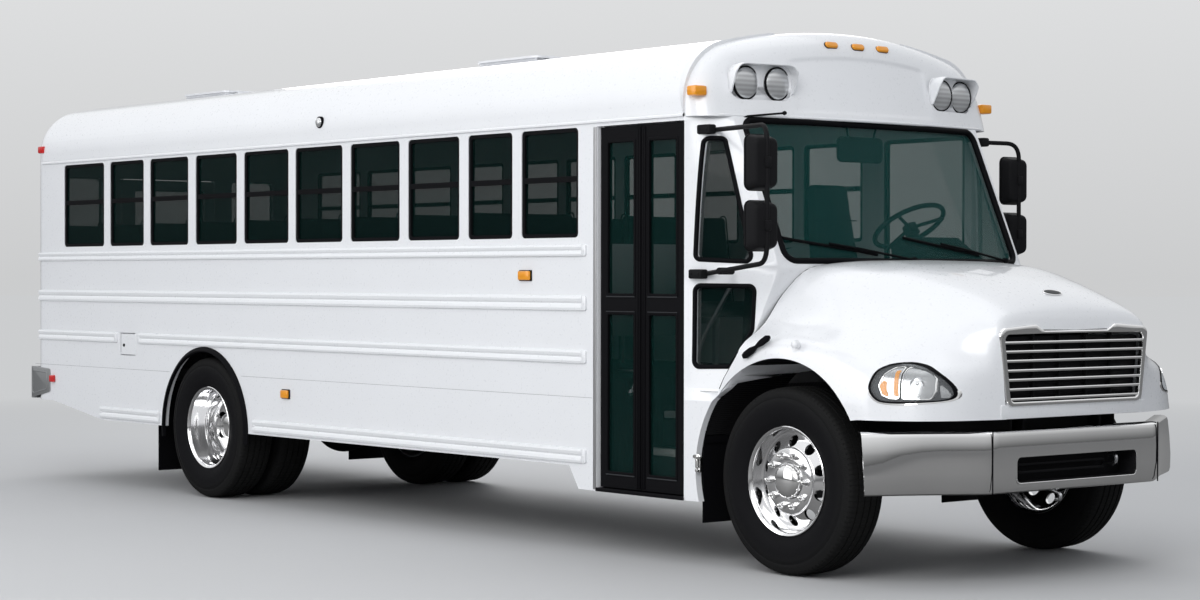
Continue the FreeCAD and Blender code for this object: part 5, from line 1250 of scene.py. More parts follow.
# ---- windshield and quarter windows
@dataclass
class Glazing:
    """Black gaskets round the windshield and the quarter windows, and the wipers."""

    # openings: across and up for the windshield, ahead and up for the quarter windows
    shield: Rows = ((-0.955, 1.712), (0.955, 1.712), (0.955, 2.512), (-0.955, 2.512))
    upper: Rows = ((-0.661, 2.405), (-0.572, 2.405), (-0.343, 1.708), (-0.679, 1.723))
    lower: Rows = ((-0.679, 1.576), (-0.323, 1.573), (-0.323, 1.328), (-0.445, 1.125), (-0.679, 1.118))

    def gasket(self, name: str, outline: Points, corner: float, wide: float, tree: BVHTree,
               side: int = 0) -> None:
        """Rubber bead that follows an opening's edge on the skin; side 0 looks from the front."""
        flat = [Vector((a, b, 0)) for a, b in rounded(outline, corner, 6)]
        path = []
        for p in filled(flat + flat[:1], 0.05)[:-1]:
            if side:
                path.append(on_skin(tree, (at(p.x), side * 1.6, p.y), (0, -side, 0), -0.004))
            else:
                path.append(on_skin(tree, (at(1.2), p.x, p.y), (-1, 0, 0), -0.004))
        settle(hose(name, path, wide, 8, True), RUBBER, "root", 60)

    def wiper(self, name: str, foot: Point, tip: Point, span: float) -> None:
        """Arm and blade, along the glass.

        Args:
            name: the piece's name.
            foot: where the arm starts, across and up.
            tip: where it points to.
            span: the blade's length.
        """
        tree = skin_of("windshield", "front_cowl")
        run, rise = tip[0] - foot[0], tip[1] - foot[1]

        def resting(across: float, up: float, lift: float) -> Vector:
            """Point a little off the glass."""
            return on_skin(tree, (at(1.2), across, up), (-1, 0, 0), lift)

        start = resting(foot[0], foot[1], 0.02)
        reach = [resting(foot[0] + run * k, foot[1] + rise * k, 0.034) for k in (0.12, 0.5, 0.75)]
        arm = hose(name, [start] + reach, 0.007, 6)
        path = []
        for k in range(9):
            across = run * 0.72 + math.copysign(span, run) * (k / 8 - 0.5)
            path.append(resting(foot[0] + across, foot[1] + rise / abs(run) * abs(across) - 0.012, 0.012))
        blade = hose(name, path, 0.0085, 6)
        knob = bar(name, start - Vector((0.02, 0, 0)), start + Vector((0.012, 0, 0)), 0.017)
        merged(name, [arm, blade, knob], RUBBER, "root", 40)

    def build(self) -> None:
        """Gaskets and wipers."""
        self.gasket("windshield_gasket", self.shield, 0.065, 0.019, skin_of("windshield", "front_cowl"))
        cheeks = skin_of("side_glass", "front_cowl")
        for side, word in SIDES:
            self.gasket("upper_quarter_gasket_" + word, self.upper, 0.03, 0.014, cheeks, side)
            self.gasket("lower_quarter_gasket_" + word, self.lower, 0.035, 0.014, cheeks, side)
        self.wiper("wiper_right", (-0.06, 1.722), (-0.86, 1.842), 0.62)
        self.wiper("wiper_left", (0.8, 1.722), (0.02, 1.85), 0.6)


# ---- front cap
def cap_sag(y: float) -> float:
    """How far the bowed face lies behind its middle at a place across."""
    return CAP_PLAN_R - math.sqrt(CAP_PLAN_R ** 2 - y * y)


@dataclass
class FrontCap:
    """Moulded cap over the windshield: lamp pockets, visors, sign panel, lip and clearance lamps."""

    split: float = 2.53  # height of its lower edge
    crown: float = 4.3  # radius of the roof's middle
    shoulder: float = 0.36  # radius of the roof's sides
    lean: float = 0.13  # how far the face leans back up to the roof
    brow: float = 0.12  # radius of the round between face and roof
    back: float = -0.742
    pair_y: float = 0.7895  # middle of a pair of warning lamps
    reach: float = 0.2155  # half the width of its pocket
    pocket_z: Span = (2.622, 2.836)

    def face(self, y: float, z: float) -> float:
        """Place of the leaning, bowed face, its sign panel a little sunk."""
        away = max((abs(y) - 0.53) / 0.03, (z - 2.885 + y * y * 0.12) / 0.03, (2.59 - z) / 0.02)
        sunk = 0.007 * (1 - min(1.0, max(0.0, away)) ** 2)
        return at(CAP_FRONT) - cap_sag(y) - self.lean * (z - self.split) / 0.475 - sunk

    def outline(self) -> list[tuple[Vector, Vector]]:
        """Points across the body with their outward directions, from the right foot to the left."""
        side, low = HALF_W - self.shoulder, ROOF_Z - self.crown
        rise = low + math.sqrt((self.crown - self.shoulder) ** 2 - side * side)
        tip = math.atan2(side, rise - low)
        half = [(Vector((HALF_W, self.split + (rise - self.split) * k / 4)), Vector((1, 0)))
                for k in range(4)]
        for k in range(21):
            turn = k / 20 * (math.pi / 2 - tip)
            way = Vector((math.cos(turn), math.sin(turn)))
            half.append((Vector((side, rise)) + way * self.shoulder, way))
        for k in range(1, 31):
            turn = tip * (1 - k / 30)
            way = Vector((math.sin(turn), math.cos(turn)))
            half.append((Vector((0, low)) + way * self.crown, way))
        right = [(Vector((-p.x, p.y)), Vector((-w.x, w.y))) for p, w in half]
        return right + half[-2::-1]

    def sheet(self) -> Piece:
        """Skin as rings: back edge, rounded brow, then the face in to its lower middle."""
        around = self.outline()
        inner = 48
        rings = [[Vector((at(self.back), p.x, p.y)) for p, _ in around]]
        for k in range(9):
            turn = math.pi / 2 * k / 8
            ring = []
            for p, way in around:
                spot_on = p - way * self.brow * (1 - math.cos(turn))
                x = self.face(spot_on.x, spot_on.y) - self.brow * (1 - math.sin(turn))
                ring.append(Vector((x, spot_on.x, spot_on.y)))
            rings.append(ring)
        foot = Vector((0, self.split))
        for k in range(1, inner + 1):
            ring = []
            for p, way in around:
                spot_on = foot + (p - way * self.brow - foot) * (1 - k / inner)
                ring.append(Vector((self.face(spot_on.x, spot_on.y), spot_on.x, spot_on.y)))
            rings.append(ring)
        skin = modified(grid("cap_skin", rings), "WELD", merge_threshold=0.0004)
        return facing(outward(skin), (at(CAP_FRONT), 0, 2.7), (1, 0, 0))

    def pocket(self, skin: Piece, side: int) -> list[Piece]:
        """Cut a pocket for a pair of warning lamps, and give back its floor and its visor."""
        middle = side * self.pair_y
        plane = at(CAP_FRONT) - cap_sag(middle) - 0.048
        y, z = about(middle, self.reach), self.pocket_z
        skew = turned_by(math.degrees(side * 0.172), (plane, middle, 0), Z)
        hollow = oblong((y[0] + 0.008, y[1] - 0.008), (z[0] + 0.008, z[1] - 0.008), 0.062, 6)
        tool = plate("tool", X, hollow, (plane, plane + 0.3))
        tool.data.transform(skew)
        cut(skin, tool)
        floor = plate("floor", X, oblong(y, z, 0.07, 6), (plane - 0.012, plane))
        visor = rim_round("visor", X, y, z, (0.0, -0.009), (0.07, 0.061), (plane - 0.008, plane + 0.078),
                          0.004, 6)
        slope = ((0.5, 2.4), (0.5, 2.805), (0.081, 2.805), (0.046, 2.722), (0.02, 2.672), (-0.02, 2.655),
                 (-0.02, 2.4))
        cut(visor, plate("trim", Y, [(plane + a, b) for a, b in slope], (y[0] - 0.05, y[1] + 0.05)))
        for piece in (floor, visor):
            piece.data.transform(skew)
        return [floor, visor]

    def lamps(self, tree: BVHTree) -> None:
        """Three clearance lamps on the brow, each on its base."""
        lenses, bases = [], []
        for y in TOP_LAMP_Y:
            hit, normal = tree.ray_cast(Vector((at(0.5), y, 2.978)), Vector((-1, 0, 0)))[:2]
            turn = Vector((normal.x, 0, normal.z)).to_track_quat("X", "Z").to_matrix().to_4x4()
            lenses.append(plate("lens", X, oblong((-0.048, 0.048), (-0.019, 0.019), 0.018, 6),
                                (-0.006, 0.016), 0.008, 3))
            bases.append(plate("base", X, oblong((-0.051, 0.051), (-0.022, 0.022), 0.021, 6),
                               (-0.006, 0.003), 0.002))
            for piece in (lenses[-1], bases[-1]):
                piece.data.transform(Matrix.Translation(hit) @ turn)
        merged("cap_lenses", lenses, AMBER, "root", 40)
        merged("cap_lamp_bases", bases, RUBBER, "root", 40)

    def build(self) -> None:
        """Skin with its pockets, the visors, the lip and the three lamps."""
        skin = self.sheet()
        tree = tree_over(skin.data)
        modified(skin, "SOLIDIFY", thickness=0.012, offset=-1.0)
        pieces = [skin]
        for side, _ in SIDES:
            pieces += self.pocket(skin, side)
        lip = []
        for y in (k / 22 * 1.14 for k in range(-22, 23)):
            x = self.face(y, self.split) - 0.004 - max(0.0, abs(y) - 1.06) ** 2 * 5
            lip.append(Vector((x, y, self.split + 0.006)))
        pieces.append(hose("lip", lip, 0.01, 8))
        merged("cap_skin", pieces, WHITE, "root", 38, ("front_cap",))
        self.lamps(tree)


# ---- mirrors
@dataclass
class Mirrors:
    """Mirror arms, their brackets and the rounded heads."""

    # path of each arm: ahead, across, up
    right: Rows = ((-0.64, -1.08, 2.454), (0.18, -1.45, 2.43), (0.18, -1.45, 1.7), (-0.64, -1.16, 1.64))
    left: Rows = ((-0.64, 1.08, 2.462), (-0.59, 1.45, 2.462), (-0.59, 1.45, 1.8), (-0.64, 1.16, 1.65))
    heads: Rows = ((2.08, 2.383), (1.759, 2.032))
    half: float = 0.095
    depth: float = 0.075
    tube: float = 0.0135

    def head(self, x: float, y: float, low: float, high: float) -> Piece:
        """One head: a shell that narrows forwards, with a lip round its glass."""
        back = x - 0.004 - self.depth
        across, middle = about(y, self.half), Vector((0, y, (low + high) / 2))
        shell = plate("head", X, oblong(across, (low, high), 0.042, 6), (back + 0.004, x + 0.004))
        for vertex in shell.data.vertices:
            if vertex.co.x > x - 0.03:
                for axis in (1, 2):
                    vertex.co[axis] = middle[axis] + (vertex.co[axis] - middle[axis]) * 0.84
        bevelled(shell, 0.016, 4)
        lip = rim_round("lip", X, across, (low, high), (0.0, -0.009), (0.042, 0.035),
                        (back - 0.001, back + 0.008), 0.002, 6)
        clamp = block("clamp", (x - 0.01, x + 0.019), about(y, 0.021), about(middle.z, 0.028), 0.006)
        return joined("head", [shell, lip, clamp])

    def build(self) -> None:
        """Both sides, and the feeler rod over the right quarter window."""
        tree = skin_of("front_cowl")
        for (side, word), path in zip(SIDES, (self.right, self.left)):
            points = [Vector((at(a), b, c)) for a, b, c in path]
            pieces = [hose("arm", bent(points, 0.1, 8), self.tube, 12)]
            for x, _, z in (points[0], points[-1]):
                y = on_skin(tree, (x, side * 1.6, z), (0, -side, 0)).y
                pieces.append(block("bracket", about(x, 0.055), (y - side * 0.004, y + side * 0.052),
                                    about(z, 0.027), 0.01))
                pieces += [bar("pin", (pin, y + side * 0.05, z), (pin, y + side * 0.056, z), 0.008, 10)
                           for pin in about(x, 0.03)]
            stay = points[2].lerp(points[3], 0.72)
            pieces.append(bar("stay", stay + Vector((0, side * 0.02, 0)), stay - Vector((0, side * 0.09, 0)),
                              0.02, 14))
            pieces += [self.head(points[1].x, points[1].y, low, high) for low, high in self.heads]
            whole = joined("mirror_set_" + word, pieces)
            settle(whole, PLASTIC, "root", 40, ("mirrors",) if side < 0 else ())
        end = (at(-0.47), -0.7, 2.556)
        rod = hose("rod", bent([(at(-0.6), -1.005, 2.512), (at(-0.545), -0.93, 2.532), end], 0.06), 0.006, 8)
        tip = spun("tip", ((-0.012, 0.0), (-0.01, 0.009), (0.0, 0.013), (0.01, 0.009), (0.012, 0.0)), end,
                   Y, 12)
        merged("feeler_rod", [rod, tip], PLASTIC)


# ---- walls
@dataclass
class Walls:
    """Rail end caps, panel seams in painted shade, door post strips, the lock handle and the fuel door's
    lock.
    """

    # rub rails: low, high, then the places of their ends
    rails: tuple[tuple[float, float, tuple[float, ...]], ...] = (
        (1.745, 1.816, (-1.646,)), (1.421, 1.513, (-1.646,)), (1.108, 1.19, (-7.396, -7.002, -1.646)),
        (0.516, 0.606, (-7.63, -6.7, -5.36, -1.646)))
    # seams: start, stop, height
    seams: Rows = ((-8.757, -6.56, 0.909), (-5.53, -1.56, 0.909))

    def caps(self) -> None:
        """Flattened ends of the rails, each with a bolt."""
        bolt = ((-0.017, 0.0), (-0.0165, 0.004), (-0.0145, 0.007), (-0.01, 0.0075), (-0.01, 0.0))
        made = []
        for low, high, ends in self.rails:
            for index, end in enumerate(ends):
                way = 1 if index == len(ends) - 1 or (len(ends) > 2 and index % 2 == 0) else -1
                x = sorted((at(end) - way * 0.006, at(end) + way * 0.034))
                outline = oblong(x, (low + 0.002, high - 0.002), 0.014)
                made.append(plate("cap", Y, outline, (-HALF_W - 0.0125, -HALF_W + 0.004), 0.004))
                place = (at(end) + way * 0.018, -HALF_W, (low + high) / 2)
                made.append(spun("bolt", bolt, place, Y, 12))
        both(joined("rail_caps", made), WHITE)

    def lines(self) -> None:
        """Hairline seams between the panels, as grey strips of painted shade where the joints lie, and the
        strip on the door post.
        """
        for side, word in SIDES:
            made = [block("seam", ahead(start, stop), (side * (HALF_W - 0.001), side * (HALF_W + 0.0006)),
                          about(z, 0.0012)) for start, stop, z in self.seams]
            if word == "right":
                made.append(block("seam", ahead(-0.7, -0.485), (-CHEEK_Y - 0.0025, -CHEEK_Y + 0.001),
                                  about(0.983, 0.0015)))
            # the grey strips are painted shade of the joints
            merged("panel_seams_" + word, made, SEAM_SHADE)
        strip = block("door_post_strip", ahead(-1.548, -1.519), (-HALF_W - 0.004, -HALF_W + 0.002),
                      (0.372, 2.505), 0.0015)
        settle(strip, DULL_STEEL)

    def handle(self) -> None:
        """Lock handle under the quarter window: an oval head over a stem with its lock."""
        x, y = at(-0.64), -CHEEK_Y
        head = spun("head", ((-0.03, 0.0), (-0.028, 0.013), (-0.02, 0.019), (-0.01, 0.015), (-0.01, 0.0)),
                    (0, y, 0), Y, 28)
        head.data.transform(Matrix.Translation((x, 0, 0.616)) @ Matrix.Diagonal((1.75, 1, 0.85, 1)))
        flat = oblong(about(x, 0.016), (0.522, 0.625), 0.014)
        pad = plate("pad", Y, flat, (y - 0.008, y + 0.004), 0.003)
        slim = oblong(about(x, 0.011), (0.548, 0.615), 0.01)
        stem = plate("stem", Y, slim, (y - 0.022, y - 0.006), 0.005)
        rows = ((-0.024, 0.0), (-0.023, 0.009), (-0.018, 0.0115), (-0.006, 0.0115), (-0.006, 0.0))
        lock = spun("lock", rows, (x, y, 0.537), Y, 20)
        merged("lock_handle", [head, pad, stem, lock], CHROME)

    def fuel(self) -> None:
        """Lock of the fuel door, on the door."""
        x, y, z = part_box("fuel_door")[0]
        rows = ((-0.003, 0.0), (-0.003, 0.009), (-0.001, 0.012), (0.004, 0.012), (0.004, 0.0))
        settle(spun("fuel_lock", rows, (x + 0.045, y, z + 0.07), Y, 20), RUBBER, "fuel_door")

    def build(self) -> None:
        """All of the wall trim."""
        self.caps()
        self.lines()
        self.handle()
        self.fuel()


# ---- entrance
@dataclass
class Entrance:
    """Glazing beads, trims and seals on the door leaves, and the fittings of the step well."""

    back: float = -1.515
    front: float = -0.742
    face: float = -1.205  # outer face of the leaves
    panes: Rows = ((0.48, 1.409), (1.521, 2.412))
    pin: float = 0.024  # from the opening's edge to the hinge
    stile: float = 0.055  # from the hinge to the pane
    gap: float = 0.064  # from the pane to the middle of the opening
    # inner edge and height of each tread
    treads: Rows = ((-0.926, 0.607), (-0.703, 0.813), (-0.48, 1.02))
    rivets: tuple[float, ...] = (-1.49, -1.34, -1.19, -1.06, -0.91, -0.77)

    def leaf(self, word: str, start: float, stop: float) -> None:
        """Beads round both panes, trims under them and the rubber on the free edge."""
        y = self.face
        beads = [rim_round("bead", Y, (start, stop), pane, (0.012, -0.006), (0.014, 0.012),
                           (y - 0.004, y + 0.01), 0.003) for pane in self.panes]
        along = (start - 0.008, stop + 0.008)
        trims = [block("trim", along, (y - 0.007, y - 0.002), (low - 0.016, low - 0.009), 0.002)
                 for low, _ in self.panes]
        top = self.panes[0][1]
        trims.append(block("trim", along, (y - 0.006, y - 0.002), (top + 0.01, top + 0.015), 0.0015))
        middle = at((self.back + self.front) / 2)
        side = -1 if word == "rear" else 1
        for x in (middle + side * reach for reach in (0.013, 0.03)):
            beads.append(bar("seal", (x, y - 0.001, 0.4), (x, y - 0.001, 2.49), 0.0075, 10))
        merged("leaf_beads_" + word, beads, RUBBER, "entrance_" + word)
        merged("leaf_trims_" + word, trims, GREY_PLASTIC, "entrance_" + word)

    def well(self) -> None:
        """Nosings on the treads, and the hand rail with its feet."""
        nosings = []
        for y, z in self.treads:
            for across, up in (((-0.005, 0.048), (0.0, 0.005)), ((-0.006, -0.0005), (-0.036, 0.004))):
                spans = [y + a for a in across], [z + b for b in up]
                nosings.append(block("nosing", ahead(-1.5, -0.757), *spans, 0.002))
        merged("step_nosings", nosings, NOSING)
        x = at(-0.8)
        path = [(x, -0.56, 1.84), (x, -0.6, 1.86), (x, -1.06, 1.22), (x, -1.1, 1.06), (x, -1.1, 0.66),
                (x, -1.06, 0.63)]
        rail = hose("hand_rail", bent(path, 0.09, 6), 0.014, 10)
        feet = [bar("foot", (x, y, z), (at(-0.7425), y, z), 0.011, 10)
                for y, z in ((-0.565, 1.845), (-1.1, 0.7))]
        merged("hand_rail", [rail] + feet, STEEL)

    def control(self) -> None:
        """Control rod of the door, with its knob."""
        x, y = at(-1.33), -1.06
        rod = hose("rod", [(x, y, 1.06), (x - 0.022, y - 0.025, 0.965)], 0.006, 8)
        knob = spun("knob", ((-0.022, 0.0), (-0.018, 0.013), (0.0, 0.022), (0.018, 0.013), (0.022, 0.0)),
                    (x - 0.025, y - 0.03, 0.945), Z, 20)
        root = bar("root", (x, y, 1.04), (x, y, 1.078), 0.014, 12)
        stay = bar("stay", (x, y, 1.07), (x - 0.18, y, 1.07), 0.008, 10)
        merged("door_control", [rod, knob, root, stay], STEEL)

    def sill(self) -> None:
        """Sill under the leaves, with its rivets."""
        sill = block("sill", ahead(self.back, self.front), (-1.2325, -1.15), (0.362, 0.384), 0.004)
        rows = ((-0.0045, 0.0), (-0.004, 0.003), (-0.002, 0.005), (0.0, 0.0))
        rivets = [spun("rivet", rows, (at(x), -1.23, 0.373), Y, 8) for x in self.rivets]
        merged("entrance_sill", [sill] + rivets, BLACK)

    def build(self) -> None:
        """Both leaves, the well, the door's control and the sill."""
        middle = at((self.back + self.front) / 2)
        self.leaf("rear", at(self.back) + self.pin + self.stile, middle - self.gap)
        self.leaf("front", middle + self.gap, at(self.front) - self.pin - self.stile)
        self.well()
        self.control()
        self.sill()


# ---- lamps
@dataclass
class Lamps:
    """Warning, clearance, side and tail lamps with their bezels and bases."""

    warn_y: tuple[float, float] = (0.684, 0.895)
    rear_z: float = 2.64
    # lens and rim of a warning lamp: out of the wall, radius
    lens: Rows = (
        (-0.02, 0.0), (-0.02, 0.0915), (0.001, 0.0915), (0.006, 0.088), (0.012, 0.07), (0.016, 0.045),
        (0.018, 0.0))
    rim: Rows = ((-0.01, 0.0885), (0.004, 0.0885), (0.007, 0.091), (0.005, 0.0965), (-0.01, 0.0965))
    # small dome on the roof's shoulder: across, radius
    dome: Rows = (
        (1.195, 0.0), (1.195, 0.034), (1.226, 0.034), (1.236, 0.028), (1.243, 0.016), (1.245, 0.0))
    collar: Rows = ((1.195, 0.033), (1.195, 0.04), (1.224, 0.04), (1.228, 0.037), (1.228, 0.033))

    def warning(self) -> None:
        """Four in front, four behind and the small domes on the roof's shoulders."""
        lenses, rims = [], []

        def lamp(shapes: tuple[Rows, Rows], way: int, centre: Point, axis: Axis, steps: int) -> None:
            """Lens and rim, turned about an axis."""
            for made, rows in zip((lenses, rims), shapes):
                made.append(spun("lamp", [(way * a, r) for a, r in rows], centre, axis, steps))

        for y in self.warn_y:
            front = at(CAP_FRONT) - cap_sag(y) - 0.04
            for x, z, way in ((front, WARNING_Z, 1), (REAR_FACE - 0.012, self.rear_z, -1)):
                for side, _ in SIDES:
                    lamp((self.lens, self.rim), way, (x, side * y, z), X, 40)
        for side, _ in SIDES:
            lamp((self.dome, self.collar), side, (at(-4.503), 0, 2.676), Y, 24)
        merged("warning_lenses", lenses, CLEAR, "root", 40, ("warning_lamps",))
        merged("warning_rims", rims, RUBBER, "root", 40)

    def build(self) -> None:
        """All lamps."""
        self.warning()
        amber, red, bases = [], [], []
        for side, _ in SIDES:
            def lamp(where: list, x: Point, out: Point, z: Point, edge: float) -> None:
                """Box lamp on this side's wall; out counts from the wall's face."""
                where.append(block("lamp", x, [side * (HALF_W + a) for a in out], z, edge))

            for x, z, half in ((-4.927, 0.803, 0.045), (-2.198, 1.631, 0.055)):
                lamp(amber, about(at(x), half), (0.006, 0.026), about(z, 0.028), 0.008)
                lamp(bases, about(at(x), half + 0.005), (0.0, 0.01), about(z, 0.033), 0.003)
            lamp(red, ahead(-8.475, -8.403), (0.0, 0.026), (0.768, 0.824), 0.008)
            lamp(amber, ahead(-0.704, -0.626), (1.15 - HALF_W, 0.02), (2.643, 2.699), 0.01)
            lamp(red, ahead(-8.68, -8.6), (1.15 - HALF_W, 0.02), (2.622, 2.678), 0.01)
            for y, z, half, where in ((0.88, 1.62, 0.09, red), (1.01, 1.3, 0.06, red),
                                      (0.78, 1.3, 0.06, amber)):
                spans = about(side * y, half), about(z, half)
                where.append(plate("tail", X, oblong(*spans, 0.03), (REAR_FACE - 0.026, REAR_FACE),
                                   0.008, 3))
                bases.append(rim_round("bezel", X, *spans, (0.012, -0.002), (0.036, 0.03),
                                       (REAR_FACE - 0.014, REAR_FACE), 0.003))
        for y in TOP_LAMP_Y:
            red.append(block("red", (REAR_FACE - 0.026, REAR_FACE), about(y, 0.048), (2.76, 2.8), 0.009))
        merged("amber_lenses", amber, AMBER, "root", 40, ("amber_lamps",))
        merged("red_lenses", red, RED, "root", 40, ("red_lamps",))
        merged("lamp_bases", bases, RUBBER, "root", 40)


# ---- cabin
@dataclass
class Cabin:
    """Benches, driver's seat, dashboard, interior mirror and window latches."""

    rows: int = 9
    first: float = -2.5
    pitch: float = 0.69
    bench_y: float = 0.679
    half: float = 0.47
    seat_x: float = -1.06
    seat_y: float = 0.56
    step: float = 0.014  # of the pads' meshes
    cap: float = 0.012  # how far a bench pad may swell
    pads: int = 1500  # triangles of a pad
    frames: int = 20  # of the cloth's run
    # openings of the side windows along the body
    windows: Rows = (
        (-8.248, -7.582), (-7.484, -6.951), (-6.854, -6.281), (-6.174, -5.591), (-5.492, -4.9),
        (-4.811, -4.222), (-4.124, -3.548), (-3.452, -2.889), (-2.794, -2.337), (-2.245, -1.693))
    # gauges: across, up, radius
    gauges: Rows = (
        (0.455, 1.665, 0.052), (0.665, 1.665, 0.052), (0.375, 1.69, 0.026), (0.745, 1.69, 0.026),
        (0.56, 1.69, 0.026))

    def stuffed(self, piece: Piece, shut: float) -> Piece:
        """Blow a closed form up as cloth under pressure.

        Args:
            piece: the form to start from, a little smaller than the finished pad.
            shut: how far any point may move.
        Returns:
            The same piece, crowned, with its sides pulled in between the corners.
        """
        modified(piece, "REMESH", mode="VOXEL", voxel_size=self.step)
        start = [v.co.copy() for v in piece.data.vertices]
        only(piece)
        cloth = piece.modifiers.new("cloth", "CLOTH")
        cloth.settings.use_pressure = True
        cloth.settings.uniform_pressure_force = 4.0
        cloth.settings.effector_weights.gravity = 0.0
        cloth.point_cache.frame_end = self.frames
        for index in range(1, self.frames + 1):
            bpy.context.scene.frame_set(index)
        bpy.ops.object.modifier_apply(modifier=cloth.name)
        bpy.context.scene.frame_set(1)
        for vertex, old in zip(piece.data.vertices, start):
            move = vertex.co - old
            if move.length > shut:
                vertex.co = old + move * (shut / move.length)
        modified(piece, "SMOOTH", factor=0.5, iterations=4)
        faces = len(piece.data.polygons) * 2
        if faces > self.pads:
            modified(piece, "DECIMATE", ratio=self.pads / faces)
        return piece

    def seam(self, name: str, outline: Points, y: Point, radius: float) -> Piece:
        """Piping round both ends of a pad, along its side outline."""
        line = rounded(outline, 0.028)
        return joined(name, [hose(name, [(a, level, b) for a, b in line], radius, 6, True) for level in y])

    def bench(self) -> tuple[Piece, Piece]:
        """One bench at the first row on the centre line: its pads and its piping."""
        y = (-self.half + 0.012, self.half - 0.012)
        seat = ((-0.385, 1.362), (0.016, 1.362), (0.016, 1.446), (-0.385, 1.446))
        back = ((-0.448, 1.362), (-0.372, 1.362), (-0.464, 2.046), (-0.528, 2.046))
        cushion = self.stuffed(plate("pad", Y, rounded(seat, 0.03, 3), y, 0.012), self.cap)
        rest = self.stuffed(plate("pad", Y, rounded(back, 0.026, 3), y, 0.012), self.cap)
        ends = (y[0] + 0.01, y[1] - 0.01)
        trims = [self.seam("piping", outline, ends, 0.005) for outline in (seat, back)]
        return joined("bench", [cushion, rest]), joined("bench_piping", trims)

    def benches(self) -> None:
        """Every bench, one piece a side."""
        pads, piping = self.bench()
        for side, word in SIDES:
            moves = [Matrix.Translation((at(self.first - self.pitch * row), side * self.bench_y, 0))
                     for row in range(self.rows)]
            whole = joined("bench_pads_" + word, [clone(pads, "pad", move) for move in moves])
            settle(whole, VINYL, "root", 60, ("bench_cushions",) if side < 0 else ())
            trims = joined("bench_piping_" + word, [clone(piping, "trim", move) for move in moves])
            settle(trims, RUBBER, "root", 60)
        bpy.data.objects.remove(pads)
        bpy.data.objects.remove(piping)

    def driver(self) -> None:
        """Driver's seat: crowned cushion, tall back with a channel, and bellows."""
        x, y = at(self.seat_x), self.seat_y
        seat = [(x + a, b) for a, b in ((-0.21, 1.492), (0.236, 1.492), (0.236, 1.59), (-0.21, 1.584))]
        back = [(x + a, b) for a, b in ((-0.288, 1.515), (-0.196, 1.515), (-0.3, 2.218), (-0.388, 2.218))]
        cushion = self.stuffed(plate("pad", Y, rounded(seat, 0.034), about(y, 0.222), 0.014), 0.016)
        rest = plate("pad", Y, rounded(back, 0.03), about(y, 0.212), 0.014)
        for vertex in rest.data.vertices:
            rise = max(0.0, vertex.co.z - 1.98) / 0.24
            vertex.co.y = y + (vertex.co.y - y) * (1 - 0.34 * min(1.0, rise) ** 1.5)
        rest = self.stuffed(rest, 0.014)
        for pad in (cushion, rest):
            modified(pad, "SUBSURF", levels=1, render_levels=1)
        whole = merged("driver_pads", [cushion, rest], VINYL, "root", 60, ("driver_seat",))
        trims = [self.seam("piping", seat, about(y, 0.212), 0.005)]
        for level in (1.66, 1.98):
            lean = (level - 1.515) * 0.148
            path = [(x - 0.188 - lean, y + k * 0.02, level) for k in range(-9, 10)]
            trims.append(hose("channel", path, 0.004))
        merged("driver_piping", trims, RUBBER, "root", 60)
        folds = []
        for low in (1.12 + 0.06 * k for k in range(6)):
            folds.append(block("fold", about(x, 0.15), about(y, 0.14), (low, low + 0.054), 0.02))
        folds.append(block("foot", about(x, 0.168), about(y, 0.158), (1.021, 1.125), 0.012))
        folds.append(block("pan", about(x, 0.168), about(y, 0.158), (1.474, 1.492), 0.006))
        merged("driver_seat_base", folds, PLASTIC)

    def dash(self) -> None:
        """Moulded dashboard with a hooded gauge cluster, switch panel, vents and column."""
        profile = [(-0.592, 1.186), (-0.556, 1.622), (-0.5, 1.668), (-0.42, 1.686), (-0.3, 1.686),
                   (-0.3, 1.186)]
        cowl = [(-0.585, 1.6), (-0.598, 1.8), (-0.53, 1.87), (-0.33, 1.74), (-0.33, 1.66)]
        body = plate("dash", Y, rounded([(at(x), z) for x, z in profile], 0.02), (-0.925, 0.925), 0.008)
        hood = plate("binnacle", Y, rounded([(at(x), z) for x, z in cowl], 0.018), (0.3, 0.82), 0.012)
        centre, axis = Vector((at(-0.69), self.seat_y, 1.935)), Vector((-0.55, 0, 0.835)).normalized()
        column = bar("column", centre - axis * 0.4, centre - axis * 0.075, 0.034, 20)
        stalk = bar("stalk", centre - axis * 0.14, centre - axis * 0.13 + Vector((0, 0.19, 0.02)), 0.007, 10)
        merged("dashboard_body", [body, hood, column, stalk], PLASTIC, "root", 40, ("dashboard",))
        rings, faces = [], []
        for y, z, r in self.gauges:
            ring = ((-0.602, r), (-0.606, r + 0.002), (-0.604, r + 0.006), (-0.59, r + 0.006), (-0.59, r))
            face = ((-0.598, 0.0), (-0.598, r), (-0.59, r), (-0.59, 0.0))
            rings.append(spun("ring", ring, (AXLE_X, y, z), X, 28))
            faces.append(spun("face", face, (AXLE_X, y, z), X, 28))
        merged("gauge_rings", rings, DULL_STEEL)
        merged("gauge_faces", faces, BLACK)
        small = [block("switch", ahead(-0.592, -0.575), (y, y + 0.032), (z, z + 0.046), 0.004)
                 for y in (0.205 - 0.042 * k for k in range(8)) for z in (1.46, 1.53)]
        small += [block("vent", ahead(-0.585, -0.562), (y - 0.06, y + 0.05), (z, z + 0.006), 0.002)
                  for y in (-0.72, -0.38, 0.87) for z in (1.575 + 0.014 * k for k in range(4))]
        merged("dash_fittings", small, GREY_PLASTIC)

